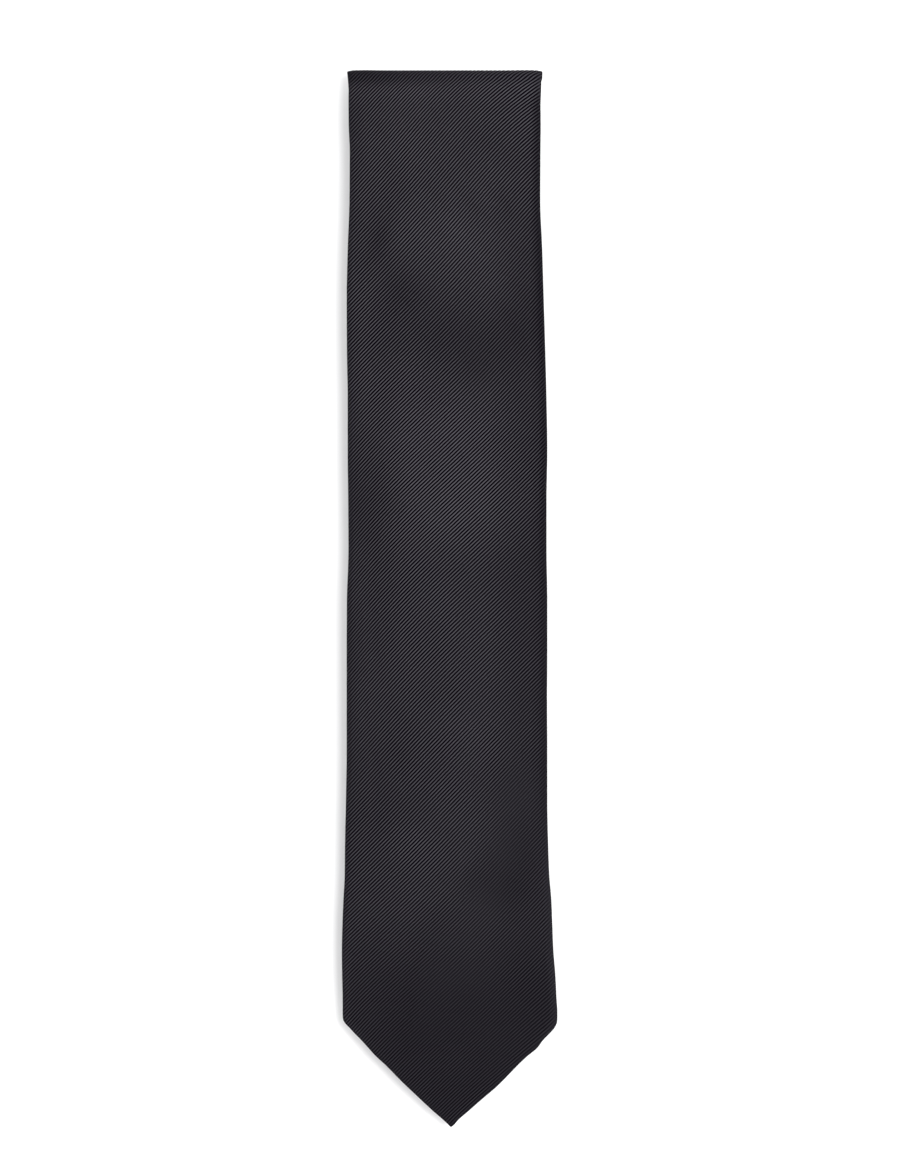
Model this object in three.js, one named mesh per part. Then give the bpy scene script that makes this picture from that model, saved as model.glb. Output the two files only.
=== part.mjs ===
// A necktie folded in four, lying flat: front blade on top with its point toward -Y, tail at the bottom.
// Millimetres, +Z up, +X to the right of the front blade, origin at the bottom centre.
//
// The whole tie is laid out along one centre line.  s runs from the blade's point (0) to the tail's
// point (TIE_LENGTH), x runs across, and h is the height above the interlining's middle, positive
// toward the face of the cloth.  Three U-bends fold that line into four layers.
import * as THREE from "three";

// ---- driving dimensions -------------------------------------------------------------------
const TIE_LENGTH = 1458; // point to point, unfolded
const SHOWN_LENGTH = 418.5; // the front blade from its point to the top fold
const BLADE_CORNER = 41.3; // from the point to the blade's two corners
const BLADE_APEX = 82; // from the point to where the two back wings meet
const TAIL_CORNER = 24;
const TAIL_APEX = 46;
const HEM_SHOWN = 3.0; // shell margin that shows round the tipping
const TAIL_HEM_SHOWN = 2.2;

const CLOTH = 0.4; // shell cloth
const FACE_H = 1.15; // outer surface of the front
const FRONT_H = FACE_H - CLOTH / 2; // its mid-surface
const WING_H = -0.75; // mid-surface of the wings folded to the back
const FLAP_H = -1.25; // mid-surface of the left wing where it laps over the right one
const ROLL = (FRONT_H - WING_H) / 2; // radius of the rolled side edges, at mid-cloth
const ROLL_H = (FRONT_H + WING_H) / 2;
const LINING_TOP = 0.6; // wool interlining
const LINING_LOW = -0.2;
const TIPPING_TOP = -0.3; // thin lining behind the point
const TIPPING_LOW = -0.42;
const LAP_LEFT = 3.0; // the flap passes the centre by this much
const LAP_RIGHT = 4.0;

const LAYER_4 = FACE_H; // tail: its face lies on the floor
const LAYER_3 = LAYER_4 + 4.0; // neck
const LAYER_2 = LAYER_3 + 3.0; // upper blade
const LAYER_1 = LAYER_2 + 5.0; // front blade
const POINT_DROOP = 5.0; // the unsupported point hangs by this much
const DROOP_FROM = 80;

const FOLD_2_INSET = 50; // lower fold's outer edge above the blade's point
const FOLD_3_INSET = 1.5; // tail fold's outer edge behind the top fold's

const SEAM_A = 700; // blade panel to neck panel
const SEAM_B = 1060; // neck panel to tail panel
const SEAM_SLOPE = 0.8;
const SEAM_GAP = 0.45; // half the slot that the seam thread lies in
const JOIN_A = 730; // interlining joins
const JOIN_B = 1030;
const CUT = 0.15; // half the gap between a flat section and its fold

const KEEPER_S = 230;
const KEEPER_WIDTH = 12;
const KEEPER_HALF = 31;
const LABEL_S = 264;
const LABEL_HALF = 27;
const LABEL_HEIGHT = 28;
const CARE_D = 165;

// ---- the folded centre line ---------------------------------------------------------------
const Y0 = -SHOWN_LENGTH / 2;
const R12 = (LAYER_1 - LAYER_2) / 2;
const R23 = (LAYER_2 - LAYER_3) / 2;
const R34 = (LAYER_3 - LAYER_4) / 2;
const FLAP_OUT = -(FLAP_H - CLOTH / 2);
const FOLD_1_Y = Y0 + SHOWN_LENGTH - (R12 + FACE_H);
const FOLD_2_Y = Y0 + FOLD_2_INSET + R23 + FLAP_OUT;
const FOLD_3_Y = Y0 + SHOWN_LENGTH - FOLD_3_INSET - (R34 + FACE_H);
const S1 = FOLD_1_Y - Y0;
const S1E = S1 + Math.PI * R12;
const S2 = S1E + (FOLD_1_Y - FOLD_2_Y);
const S2E = S2 + Math.PI * R23;
const S3 = S2E + (FOLD_3_Y - FOLD_2_Y);
const S3E = S3 + Math.PI * R34;

// [y, z, tangent y, tangent z] at s
function centreLine(s) {
  if (s <= S1) {
    const a = Math.max(0, DROOP_FROM - s) / DROOP_FROM;
    const slope = (2 * POINT_DROOP * a) / DROOP_FROM;
    const n = Math.hypot(1, slope);
    return [Y0 + s, LAYER_1 - POINT_DROOP * a * a, 1 / n, slope / n];
  }
  if (s <= S1E) {
    const a = (s - S1) / R12;
    return [FOLD_1_Y + R12 * Math.sin(a), LAYER_2 + R12 + R12 * Math.cos(a), Math.cos(a), -Math.sin(a)];
  }
  if (s <= S2) return [FOLD_1_Y - (s - S1E), LAYER_2, -1, 0];
  if (s <= S2E) {
    const a = (s - S2) / R23;
    return [FOLD_2_Y - R23 * Math.sin(a), LAYER_3 + R23 + R23 * Math.cos(a), -Math.cos(a), -Math.sin(a)];
  }
  if (s <= S3) return [FOLD_2_Y + (s - S2E), LAYER_3, 1, 0];
  if (s <= S3E) {
    const a = (s - S3) / R34;
    return [FOLD_3_Y + R34 * Math.sin(a), LAYER_4 + R34 + R34 * Math.cos(a), Math.cos(a), -Math.sin(a)];
  }
  return [FOLD_3_Y - (s - S3E), LAYER_4, -1, 0];
}

function place(x, s, h) {
  const [y, z, ty, tz] = centreLine(s);
  return [x, y - h * tz, z + h * ty];
}

// ---- outline: left and right edge along s -------------------------------------------------
const OUTLINE = [
  [0, -1.07, 2.13],
  [3, -3.1, 4.1],
  [41.3, -42.3, 42.6],
  [50.2, -42.4, 42.4],
  [60.1, -42.6, 41.9],
  [70, -42.65, 41.2],
  [79.9, -42.4, 40.7],
  [89.8, -42.0, 40.2],
  [109.6, -41.5, 39.2],
  [129.4, -41.1, 38.9],
  [169, -40.8, 38.6],
  [208.7, -40.6, 38.6],
  [248.3, -40.3, 38.5],
  [287.9, -40.4, 38.4],
  [327.6, -40.6, 37.3],
  [367.2, -39.8, 36.0],
  [400, -39.9, 36.0],
  [426, -40.2, 36.2],
  [470, -38.2, 34.6],
  [540, -33.4, 30.8],
  [610, -27.6, 25.8],
  [680, -21.9, 20.9],
  [740, -18.6, 18.2],
  [790, -17.6, 17.4],
  [900, -17.0, 17.0],
  [1000, -17.0, 17.0],
  [1100, -17.8, 17.8],
  [1180, -18.7, 18.7],
  [1300, -21.2, 21.2],
  [TIE_LENGTH - TAIL_CORNER, -24, 24],
  [TIE_LENGTH - 3, -3.6, 3.6],
  [TIE_LENGTH, -1.6, 1.6],
];

function edges(s) {
  let i = 1;
  while (i < OUTLINE.length - 1 && OUTLINE[i][0] < s) i++;
  const a = OUTLINE[i - 1];
  const b = OUTLINE[i];
  const t = Math.min(1, Math.max(0, (s - a[0]) / (b[0] - a[0])));
  return [a[1] + t * (b[1] - a[1]), a[2] + t * (b[2] - a[2])];
}

const middle = (s) => {
  const [l, r] = edges(s);
  return (l + r) / 2;
};

const clamp01 = (v) => Math.min(1, Math.max(0, v));

// Free ends of the two wings at s, and how far the flap has stepped over the other wing
function wingEnds(s) {
  const [l, r] = edges(s);
  const half = (r - l) / 2;
  const mid = (l + r) / 2;
  const front = s < TIE_LENGTH / 2;
  const d = front ? s : TIE_LENGTH - s;
  const apex = front ? BLADE_APEX : TAIL_APEX;
  const margin = front ? HEM_SHOWN : TAIL_HEM_SHOWN;
  if (d < apex) {
    const inner = Math.max(0.25, Math.min(apex - d, half - margin));
    return { left: mid - inner, right: mid + inner, step: clamp01((d - (apex - 6)) / 6) };
  }
  const lap = clamp01((d - apex) / 6);
  return {
    left: mid - 0.25 + (LAP_LEFT + 0.25) * lap,
    right: mid + 0.25 - (LAP_RIGHT + 0.25) * lap,
    step: 1,
  };
}

// Shell section at s: points from the flap's free end round the left edge, the front and the right
// edge to the other wing's free end.  Each is [x, h outside, h inside, x outside, x inside].
const ROLL_STEPS = 4;
const FRONT_STEPS = 6;
function shellSection(s) {
  const [l, r] = edges(s);
  const w = wingEnds(s);
  const cl = l + ROLL + CLOTH / 2;
  const cr = r - ROLL - CLOTH / 2;
  const out = [];
  const flat = (x, h, up) => out.push([x, h + (up * CLOTH) / 2, x, h - (up * CLOTH) / 2]);
  const wing = w.left - cl;
  const flapH = WING_H + (FLAP_H - WING_H) * w.step;
  flat(w.left, flapH, -1);
  flat(w.left - Math.min(8.5, 0.45 * wing), flapH, -1);
  flat(w.left - Math.min(11, 0.65 * wing), WING_H, -1);
  for (let i = 0; i <= ROLL_STEPS; i++) {
    const a = -Math.PI / 2 - (Math.PI * i) / ROLL_STEPS;
    const ro = ROLL + CLOTH / 2;
    const ri = ROLL - CLOTH / 2;
    out.push([cl + ro * Math.cos(a), ROLL_H + ro * Math.sin(a), cl + ri * Math.cos(a), ROLL_H + ri * Math.sin(a)]);
  }
  for (let i = 1; i < FRONT_STEPS; i++) flat(cl + ((cr - cl) * i) / FRONT_STEPS, FRONT_H, 1);
  for (let i = 0; i <= ROLL_STEPS; i++) {
    const a = Math.PI / 2 - (Math.PI * i) / ROLL_STEPS;
    const ro = ROLL + CLOTH / 2;
    const ri = ROLL - CLOTH / 2;
    out.push([cr + ro * Math.cos(a), ROLL_H + ro * Math.sin(a), cr + ri * Math.cos(a), ROLL_H + ri * Math.sin(a)]);
  }
  flat(cr - 0.5 * (cr - w.right), WING_H, -1);
  flat(w.right, WING_H, -1);
  return out;
}

// A flat strip's section: between two offsets from the edges or the middle, between two heights
const strip = (left, right, top, low, steps = 4) => (s) => {
  const a = left(s);
  const b = right(s);
  const out = [];
  for (let i = 0; i <= steps; i++) {
    const x = a + ((b - a) * i) / steps;
    out.push([x, top, x, low]);
  }
  return out;
};

// ---- one closed body swept along s --------------------------------------------------------
const group = new THREE.Group();
group.name = "necktie";

// stations: values of s.  skew: function (x - middle, station number) added to s, for slanted seams.
function sweep(name, stations, section, colour, roughness, skew = null) {
  const columns = section(stations[0]).length - 1;
  const rows = stations.length - 1;
  const geometry = new THREE.BoxGeometry(1, 1, 1, columns, rows, 1);
  const p = geometry.attributes.position;
  for (let v = 0; v < p.count; v++) {
    const i = Math.round((p.getX(v) + 0.5) * columns);
    const j = Math.round((p.getY(v) + 0.5) * rows);
    const outer = p.getZ(v) > 0;
    let s = stations[j];
    let q = section(s)[i];
    if (skew) {
      s += skew((q[0] + q[2]) / 2 - middle(s), j);
      q = section(s)[i];
    }
    p.setXYZ(v, ...place(outer ? q[0] : q[2], s, outer ? q[1] : q[3]));
  }
  geometry.computeVertexNormals();
  const material = new THREE.MeshStandardMaterial({ color: colour, roughness, metalness: 0 });
  material.name = name;
  const mesh = new THREE.Mesh(geometry, material);
  mesh.name = name;
  group.add(mesh);
  return mesh;
}

const between = (a, b, steps) => Array.from({ length: steps + 1 }, (_, i) => a + ((b - a) * i) / steps);
const tail = (...ds) => ds.map((d) => TIE_LENGTH - d);

const SHELL = 0x323035;
const LINING = 0xc9c4b8;
const TIPPING = 0x1c1b1f;
const THREAD = 0x2a282d;
const LABEL = 0x24232a;

// ---- shell --------------------------------------------------------------------------------
const POINT_ROWS = [0, 3, 8, 14, 20, 27, 34, 41.3, 48, 55, 62, 69, 76, 82, 88];
const bladeRows = [...POINT_ROWS, 100, 129.4, 169, 208.7, 248.3, 287.9, 327.6, 367.2, 400, S1 - CUT];
sweep("blade_shell_lower", bladeRows, shellSection, SHELL, 0.85);
sweep("blade_shell_fold", between(S1 + CUT, S1E - CUT, 8), shellSection, SHELL, 0.85);

const seamSkew = (rows, end, fixed) => (x, j) => {
  const w = Math.abs(rows[j] - fixed) / Math.abs(end - fixed);
  return SEAM_SLOPE * Math.max(-18, Math.min(18, x)) * w;
};
const upperRows = [S1E + CUT, 470, 540, 610, 655, SEAM_A - SEAM_GAP];
sweep("blade_shell_upper", upperRows, shellSection, SHELL, 0.85, seamSkew(upperRows, upperRows.at(-1), upperRows[3]) && ((x, j) => (j < 4 ? 0 : seamSkew(upperRows, upperRows.at(-1), upperRows[3])(x, j))));

const neckUpperRows = [SEAM_A + SEAM_GAP, 725, 752, S2 - CUT];
sweep("neck_shell_upper", neckUpperRows, shellSection, SHELL, 0.85, seamSkew(neckUpperRows, neckUpperRows[0], neckUpperRows.at(-1)));
sweep("neck_shell_fold", between(S2 + CUT, S2E - CUT, 8), shellSection, SHELL, 0.85);
const neckLowerRows = [S2E + CUT, 850, 900, 960, 1010, SEAM_B - SEAM_GAP];
sweep("neck_shell_lower", neckLowerRows, shellSection, SHELL, 0.85, (x, j) => (j < 4 ? 0 : seamSkew(neckLowerRows, neckLowerRows.at(-1), neckLowerRows[3])(x, j)));

const tailUpperRows = [SEAM_B + SEAM_GAP, 1085, 1115, S3 - CUT];
sweep("tail_shell_upper", tailUpperRows, shellSection, SHELL, 0.85, seamSkew(tailUpperRows, tailUpperRows[0], tailUpperRows.at(-1)));
sweep("tail_shell_fold", between(S3 + CUT, S3E - CUT, 8), shellSection, SHELL, 0.85);
const TAIL_POINT_ROWS = tail(TAIL_APEX + 6, TAIL_APEX, TAIL_APEX - 6, 32, TAIL_CORNER, 17, 10, 3, 0);
sweep("tail_shell_lower", [S3E + CUT, 1180, 1220, 1260, 1300, 1350, ...TAIL_POINT_ROWS], shellSection, SHELL, 0.85);

// ---- interlining, one strip per panel, cut where the tie bends ------------------------------
const liningLeft = (s) => edges(s)[0] + 1.4;
const liningRight = (s) => edges(s)[1] - 1.4;
const liningSection = strip(liningLeft, liningRight, LINING_TOP, LINING_LOW);
sweep("blade_interlining_lower", [3.5, 8, 14, 20, 27, 34, 41.3, 48, 55, 62, 69, 76, 82, 88, 100, 129.4, 169, 208.7, 248.3, 287.9, 327.6, 367.2, 400, S1 - CUT], liningSection, LINING, 0.95);
sweep("blade_interlining_fold", between(S1 + CUT, S1E - CUT, 8), liningSection, LINING, 0.95);
sweep("blade_interlining_upper", [S1E + CUT, 470, 540, 610, 680, JOIN_A - SEAM_GAP], liningSection, LINING, 0.95);
sweep("neck_interlining_upper", [JOIN_A + SEAM_GAP, 760, S2 - CUT], liningSection, LINING, 0.95);
sweep("neck_interlining_fold", between(S2 + CUT, S2E - CUT, 8), liningSection, LINING, 0.95);
sweep("neck_interlining_lower", [S2E + CUT, 850, 900, 960, JOIN_B - SEAM_GAP], liningSection, LINING, 0.95);
sweep("tail_interlining_upper", [JOIN_B + SEAM_GAP, 1060, 1100, S3 - CUT], liningSection, LINING, 0.95);
sweep("tail_interlining_fold", between(S3 + CUT, S3E - CUT, 8), liningSection, LINING, 0.95);
sweep("tail_interlining_lower", [S3E + CUT, 1180, 1300, ...tail(TAIL_APEX, 32, TAIL_CORNER, 17, 10, 3.5)], liningSection, LINING, 0.95);

// ---- tipping behind each point --------------------------------------------------------------
const tippingSection = strip((s) => edges(s)[0] + 1.6, (s) => edges(s)[1] - 1.6, TIPPING_TOP, TIPPING_LOW, 6);
sweep("blade_tipping", [4, 8, 14, 20, 27, 34, 41.3, 48, 55, 62, 69, 76, 82, 88, 100], tippingSection, TIPPING, 0.45);
sweep("tail_tipping", tail(60, TAIL_APEX, 32, TAIL_CORNER, 17, 10, 4), tippingSection, TIPPING, 0.45);

// ---- threads that join the panels and the interlining strips ---------------------------------
const seamThread = strip((s) => edges(s)[0] + 1.2, (s) => edges(s)[1] - 1.2, 1.05, 0.8, 6);
sweep("blade_neck_seam", [SEAM_A - 0.2, SEAM_A + 0.2], seamThread, THREAD, 0.7, (x) => SEAM_SLOPE * Math.max(-18, Math.min(18, x)));
sweep("neck_tail_seam", [SEAM_B - 0.2, SEAM_B + 0.2], seamThread, THREAD, 0.7, (x) => SEAM_SLOPE * Math.max(-18, Math.min(18, x)));
const joinThread = strip((s) => edges(s)[0] + 3, (s) => edges(s)[1] - 3, 0.35, 0.05, 6);
sweep("blade_interlining_join", [JOIN_A - 0.2, JOIN_A + 0.2], joinThread, 0xb8b2a4, 0.8);
sweep("tail_interlining_join", [JOIN_B - 0.2, JOIN_B + 0.2], joinThread, 0xb8b2a4, 0.8);

// ---- slip stitch down the back, along the flap's folded edge ---------------------------------
const slip = strip((s) => middle(s) + LAP_LEFT + 0.15, (s) => middle(s) + LAP_LEFT + 0.5, -1.05, -1.3, 1);
sweep("slip_stitch_blade", [90, 109.6, 129.4, 169, 208.7, 248.3, 287.9, 327.6, 367.2, 400, S1 - 1], slip, THREAD, 0.7);
sweep("slip_stitch_upper", [S1E + 1, 470, 540, 610, 680, 740, S2 - 1], slip, THREAD, 0.7);
sweep("slip_stitch_neck", [S2E + 1, 900, 1000, 1100, S3 - 1], slip, THREAD, 0.7);
sweep("slip_stitch_tail", [S3E + 1, 1180, 1300, TIE_LENGTH - TAIL_APEX - 8], slip, THREAD, 0.7);

// ---- bar tacks where the wings meet ----------------------------------------------------------
const tack = (half) => strip((s) => middle(s) - half, (s) => middle(s) + half, -1.55, -1.85, 2);
sweep("blade_bar_tack", [BLADE_APEX + 2, BLADE_APEX + 3.4], tack(4.5), THREAD, 0.6);
sweep("tail_bar_tack", tail(TAIL_APEX + 3, TAIL_APEX + 2), tack(3), THREAD, 0.6);

// ---- keeper loop, its two tacks, and the labels ------------------------------------------------
const keeperHeights = [
  [-KEEPER_HALF, -1.25],
  [-27, -1.25],
  [-19, -1.9],
  [-6, -1.9],
  [6, -1.9],
  [19, -1.9],
  [27, -1.25],
  [KEEPER_HALF, -1.25],
];
const keeperSection = (s) => keeperHeights.map(([x, h]) => [middle(KEEPER_S) + x, h + 0.17, middle(KEEPER_S) + x, h - 0.17]);
sweep("keeper_loop", [KEEPER_S - KEEPER_WIDTH / 2, KEEPER_S, KEEPER_S + KEEPER_WIDTH / 2], keeperSection, SHELL, 0.85);
for (const [side, x] of [["left", -29], ["right", 29]])
  sweep(`keeper_tack_${side}`, [KEEPER_S - 5.5, KEEPER_S + 5.5], strip(() => middle(KEEPER_S) + x - 0.6, () => middle(KEEPER_S) + x + 0.6, -1.55, -1.8, 1), THREAD, 0.6);

const labelRows = [LABEL_S - LABEL_HEIGHT / 2, LABEL_S + LABEL_HEIGHT / 2];
sweep("blank_label", labelRows, strip(() => middle(LABEL_S) - LABEL_HALF, () => middle(LABEL_S) + LABEL_HALF, -1.6, -1.8, 4), LABEL, 0.5);
for (const [side, x] of [["left", -26], ["right", 26]])
  sweep(`label_stitch_${side}`, [LABEL_S - 13, LABEL_S + 13], strip(() => middle(LABEL_S) + x - 0.25, () => middle(LABEL_S) + x + 0.25, -1.92, -2.1, 1), THREAD, 0.6);

sweep("care_label", tail(CARE_D + 14, CARE_D - 14), strip(() => -9, () => 9, -1.6, -1.78, 2), 0xe4e2dd, 0.6);
sweep("care_label_stitch", tail(CARE_D + 13, CARE_D + 12.5), strip(() => -8, () => 8, -1.9, -2.05, 1), 0xd8d5cf, 0.6);

export default group;
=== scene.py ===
"""Looks of the folded necktie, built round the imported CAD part. Metres, same frame as the CAD."""

import math

import bpy
import numpy as np
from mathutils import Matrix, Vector
from mathutils.geometry import delaunay_2d_cdt


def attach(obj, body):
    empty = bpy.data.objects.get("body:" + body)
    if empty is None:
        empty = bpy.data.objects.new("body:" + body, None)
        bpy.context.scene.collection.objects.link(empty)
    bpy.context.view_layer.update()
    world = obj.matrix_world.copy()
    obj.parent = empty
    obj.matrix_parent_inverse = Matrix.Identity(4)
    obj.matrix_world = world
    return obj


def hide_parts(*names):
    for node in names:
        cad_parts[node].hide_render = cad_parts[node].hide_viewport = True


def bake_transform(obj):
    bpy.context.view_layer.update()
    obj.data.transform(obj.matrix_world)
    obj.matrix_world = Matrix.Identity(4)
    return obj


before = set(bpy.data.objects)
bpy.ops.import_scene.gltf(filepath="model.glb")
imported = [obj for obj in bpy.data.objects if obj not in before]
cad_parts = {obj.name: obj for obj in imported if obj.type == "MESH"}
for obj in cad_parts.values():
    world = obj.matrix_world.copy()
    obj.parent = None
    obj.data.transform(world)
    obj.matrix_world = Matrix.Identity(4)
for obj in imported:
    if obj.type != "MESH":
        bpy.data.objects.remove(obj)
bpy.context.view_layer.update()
scene = bpy.context.scene
RNG = np.random.default_rng(7)
MM = 0.001

# =============================================================================================
# Camera first: straight above, long lens
# =============================================================================================
PX = 0.3962  # mm of the tie's face for each of the frame's 900 columns
TOP_Z = 14.3
FROM = 2400.0
cam_data = bpy.data.cameras.new("camera")
cam_data.sensor_fit = "HORIZONTAL"
cam_data.sensor_width = 36.0
cam_data.lens = 36.0 * FROM / (900 * PX)
cam_data.clip_start, cam_data.clip_end = 0.05, 50
cam = bpy.data.objects.new("camera", cam_data)
scene.collection.objects.link(cam)
cam.location = (0.14 * MM, 4.2 * MM, (FROM + TOP_Z) * MM)
cam.rotation_euler = (0, 0, 0)
scene.camera = cam

# =============================================================================================
# The folded centre line, as in the CAD source (mm)
# =============================================================================================
TIE_LENGTH, SHOWN_LENGTH = 1458.0, 418.5
BLADE_CORNER, BLADE_APEX, TAIL_CORNER, TAIL_APEX = 41.3, 82.0, 24.0, 46.0
HEM_SHOWN, TAIL_HEM_SHOWN = 3.0, 2.2
FACE_H, BACK_H, FLAP_OUT = 1.15, -0.95, 1.45
MID_H = (FACE_H + BACK_H) / 2
HALF_H = (FACE_H - BACK_H) / 2
LAYER_4 = FACE_H
LAYER_3 = LAYER_4 + 4.0
LAYER_2 = LAYER_3 + 3.0
LAYER_1 = LAYER_2 + 5.0
POINT_DROOP, DROOP_FROM = 5.0, 80.0
SEAM_A, SEAM_B, SEAM_SLOPE = 700.0, 1060.0, 0.8
JOIN_A, JOIN_B = 730.0, 1030.0
R12, R23, R34 = (LAYER_1 - LAYER_2) / 2, (LAYER_2 - LAYER_3) / 2, (LAYER_3 - LAYER_4) / 2
Y0 = -SHOWN_LENGTH / 2
FOLD_1_Y = Y0 + SHOWN_LENGTH - (R12 + FACE_H)
FOLD_2_Y = Y0 + 50 + R23 + FLAP_OUT
FOLD_3_Y = Y0 + SHOWN_LENGTH - 1.5 - (R34 + FACE_H)
S1 = FOLD_1_Y - Y0
S1E = S1 + math.pi * R12
S2 = S1E + (FOLD_1_Y - FOLD_2_Y)
S2E = S2 + math.pi * R23
S3 = S2E + (FOLD_3_Y - FOLD_2_Y)
S3E = S3 + math.pi * R34


def integral(v, at):
    v, at = np.asarray(v, float), np.asarray(at, float)
    return float(((v[1:] + v[:-1]) / 2 * np.diff(at)).sum())


def smooth(v, a, b):
    t = np.clip((np.asarray(v, float) - a) / (b - a), 0, 1)
    return t * t * (3 - 2 * t)


def centre_line(s):
    """y, z and unit tangent (ty, tz) at each s."""
    s = np.asarray(s, float)
    a = np.clip((DROOP_FROM - s) / DROOP_FROM, 0, None)
    slope = 2 * POINT_DROOP * a / DROOP_FROM
    n = np.hypot(1, slope)
    a1, a2, a3 = (s - S1) / R12, (s - S2) / R23, (s - S3) / R34
    one = np.ones_like(s)
    cases = [s <= S1, s <= S1E, s <= S2, s <= S2E, s <= S3, s <= S3E]
    y = np.select(cases, [
        Y0 + s, FOLD_1_Y + R12 * np.sin(a1), FOLD_1_Y - (s - S1E),
        FOLD_2_Y - R23 * np.sin(a2), FOLD_2_Y + (s - S2E), FOLD_3_Y + R34 * np.sin(a3)], FOLD_3_Y - (s - S3E))
    z = np.select(cases, [
        LAYER_1 - POINT_DROOP * a * a, LAYER_2 + R12 + R12 * np.cos(a1), LAYER_2 * one,
        LAYER_3 + R23 + R23 * np.cos(a2), LAYER_3 * one, LAYER_4 + R34 + R34 * np.cos(a3)], LAYER_4 * one)
    ty = np.select(cases, [1 / n, np.cos(a1), -one, -np.cos(a2), one, np.cos(a3)], -one)
    tz = np.select(cases, [slope / n, -np.sin(a1), 0 * one, -np.sin(a2), 0 * one, -np.sin(a3)], 0 * one)
    return y, z, ty, tz


# Soft shape of the front blade: it arches over the narrower layers under it, its edges and point hang
BUMPS = [  # x, s, height, radius across, radius along
    (2.0, 352.0, 0.16, 16, 22), (0.5, 262.0, 0.22, 18, 30), (8.0, 158.0, 0.18, 15, 24),
    (-19.0, 328.0, -0.16, 14, 16), (14.0, 307.0, -0.14, 14, 16), (-31.0, 255.0, -0.14, 12, 30),
    (18.0, 104.0, -0.18, 20, 18), (-12.0, 205.0, 0.10, 16, 24), (20.0, 222.0, -0.08, 14, 26),
    (-22.0, 128.0, 0.10, 16, 22), (-10.0, 392.0, 0.07, 20, 12), (16.0, 380.0, -0.08, 12, 14),
]


def warp(x, s):
    """How much the front blade stands off the flat CAD layer, in mm of z."""
    x, s = np.asarray(x, float), np.asarray(s, float)
    l, r = edges(s)
    mid, half = (l + r) / 2, np.maximum((r - l) / 2, 1)
    under = np.interp(s, [40, 60, 120, 200, 300, 418], [15, 17.5, 19, 26, 33, 38])
    over = np.clip(np.abs(x - mid) - under, 0, None)
    dz = -0.0030 * over**2 * smooth(s, 418, 330)
    dz = dz - 0.55 * smooth(s, 90, 30) * np.clip(np.abs(x - mid) / 42, 0, 1) ** 2
    for bx, bs, h, rx, rs in BUMPS:
        dz = dz + h * np.exp(-(((x - bx) / rx) ** 2) - ((s - bs) / rs) ** 2)
    return dz * smooth(s, S1 + 1, S1 - 14)


def place(x, s, h):
    """mm positions of points at x, s and height h over the interlining's middle."""
    x, s, h = np.broadcast_arrays(np.asarray(x, float), np.asarray(s, float), np.asarray(h, float))
    y, z, ty, tz = centre_line(s)
    y, z = y - h * tz, z + h * ty + warp(x, s)
    # the outline was read from straight above: parts that hang lower stand a little wider
    k = 1 + np.clip(TOP_Z - z, 0, 10) / FROM * smooth(s, S1E + 20, S1E - 3)
    return np.stack([0.14 + (x - 0.14) * k, 4.2 + (y - 4.2) * k, z], -1)


# =============================================================================================
# Outline: left and right edge along s (mm)
# =============================================================================================
OUTLINE = np.array([
    (0.0, 0.2, 0.9), (1.1, -0.8, 2.1), (2.7, -2.5, 3.4), (5.8, -6.1, 7.0), (9.0, -9.6, 10.6),
    (12.2, -13.0, 14.3), (15.3, -16.3, 18.0), (18.5, -19.6, 21.3), (21.7, -22.7, 24.4), (24.8, -25.8, 27.4),
    (28.0, -29.3, 30.8), (31.2, -32.2, 34.7), (34.4, -35.1, 37.1), (36.7, -37.4, 39.4), (39.1, -39.6, 41.5),
    (41.1, -41.5, 42.5), (42.7, -42.3, 42.7), (45.4, -42.4, 42.7), (50.2, -42.4, 42.4), (60.1, -42.6, 41.9),
    (70.0, -42.7, 41.1), (79.9, -42.5, 40.7), (89.8, -42.1, 40.3), (99.7, -41.6, 39.5), (109.6, -41.5, 39.1),
    (129.4, -41.1, 38.7), (149.2, -40.8, 38.7), (169.1, -40.8, 38.6), (188.9, -40.8, 38.7), (208.7, -40.7, 38.7),
    (228.5, -40.1, 38.4), (248.3, -40.2, 38.4), (268.1, -40.4, 38.7), (287.9, -40.4, 38.4), (307.7, -40.7, 37.9),
    (327.5, -40.8, 37.3), (347.3, -40.4, 36.7), (367.2, -39.7, 35.9), (387.0, -39.6, 36.0), (396.9, -40.0, 36.1),
    (406.8, -40.1, 36.0), (411.5, -40.0, 36.0), (413.6, -39.95, 36.15), (415.3, -40.15, 36.75), (417.3, -40.6, 36.8),
    (419.5, -40.6, 36.7), (423, -40.3, 36.4), (426, -40.1, 36.3), (470, -38.2, 34.6), (540, -33.4, 30.8), (610, -27.6, 25.8), (680, -21.9, 20.9),
    (740, -18.6, 18.2), (790, -17.6, 17.4), (900, -17.0, 17.0), (1000, -17.0, 17.0), (1100, -17.8, 17.8),
    (1180, -18.7, 18.7), (1300, -21.2, 21.2), (1400, -23.2, 23.2), (1431, -23.9, 23.9), (1434.2, -23.8, 23.8),
    (1437, -21.4, 21.4), (1445, -13.5, 13.5), (1451, -7.4, 7.4), (1455.5, -2.8, 2.8), (1457, -1.2, 1.2), (1458, -0.35, 0.35)])


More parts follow.
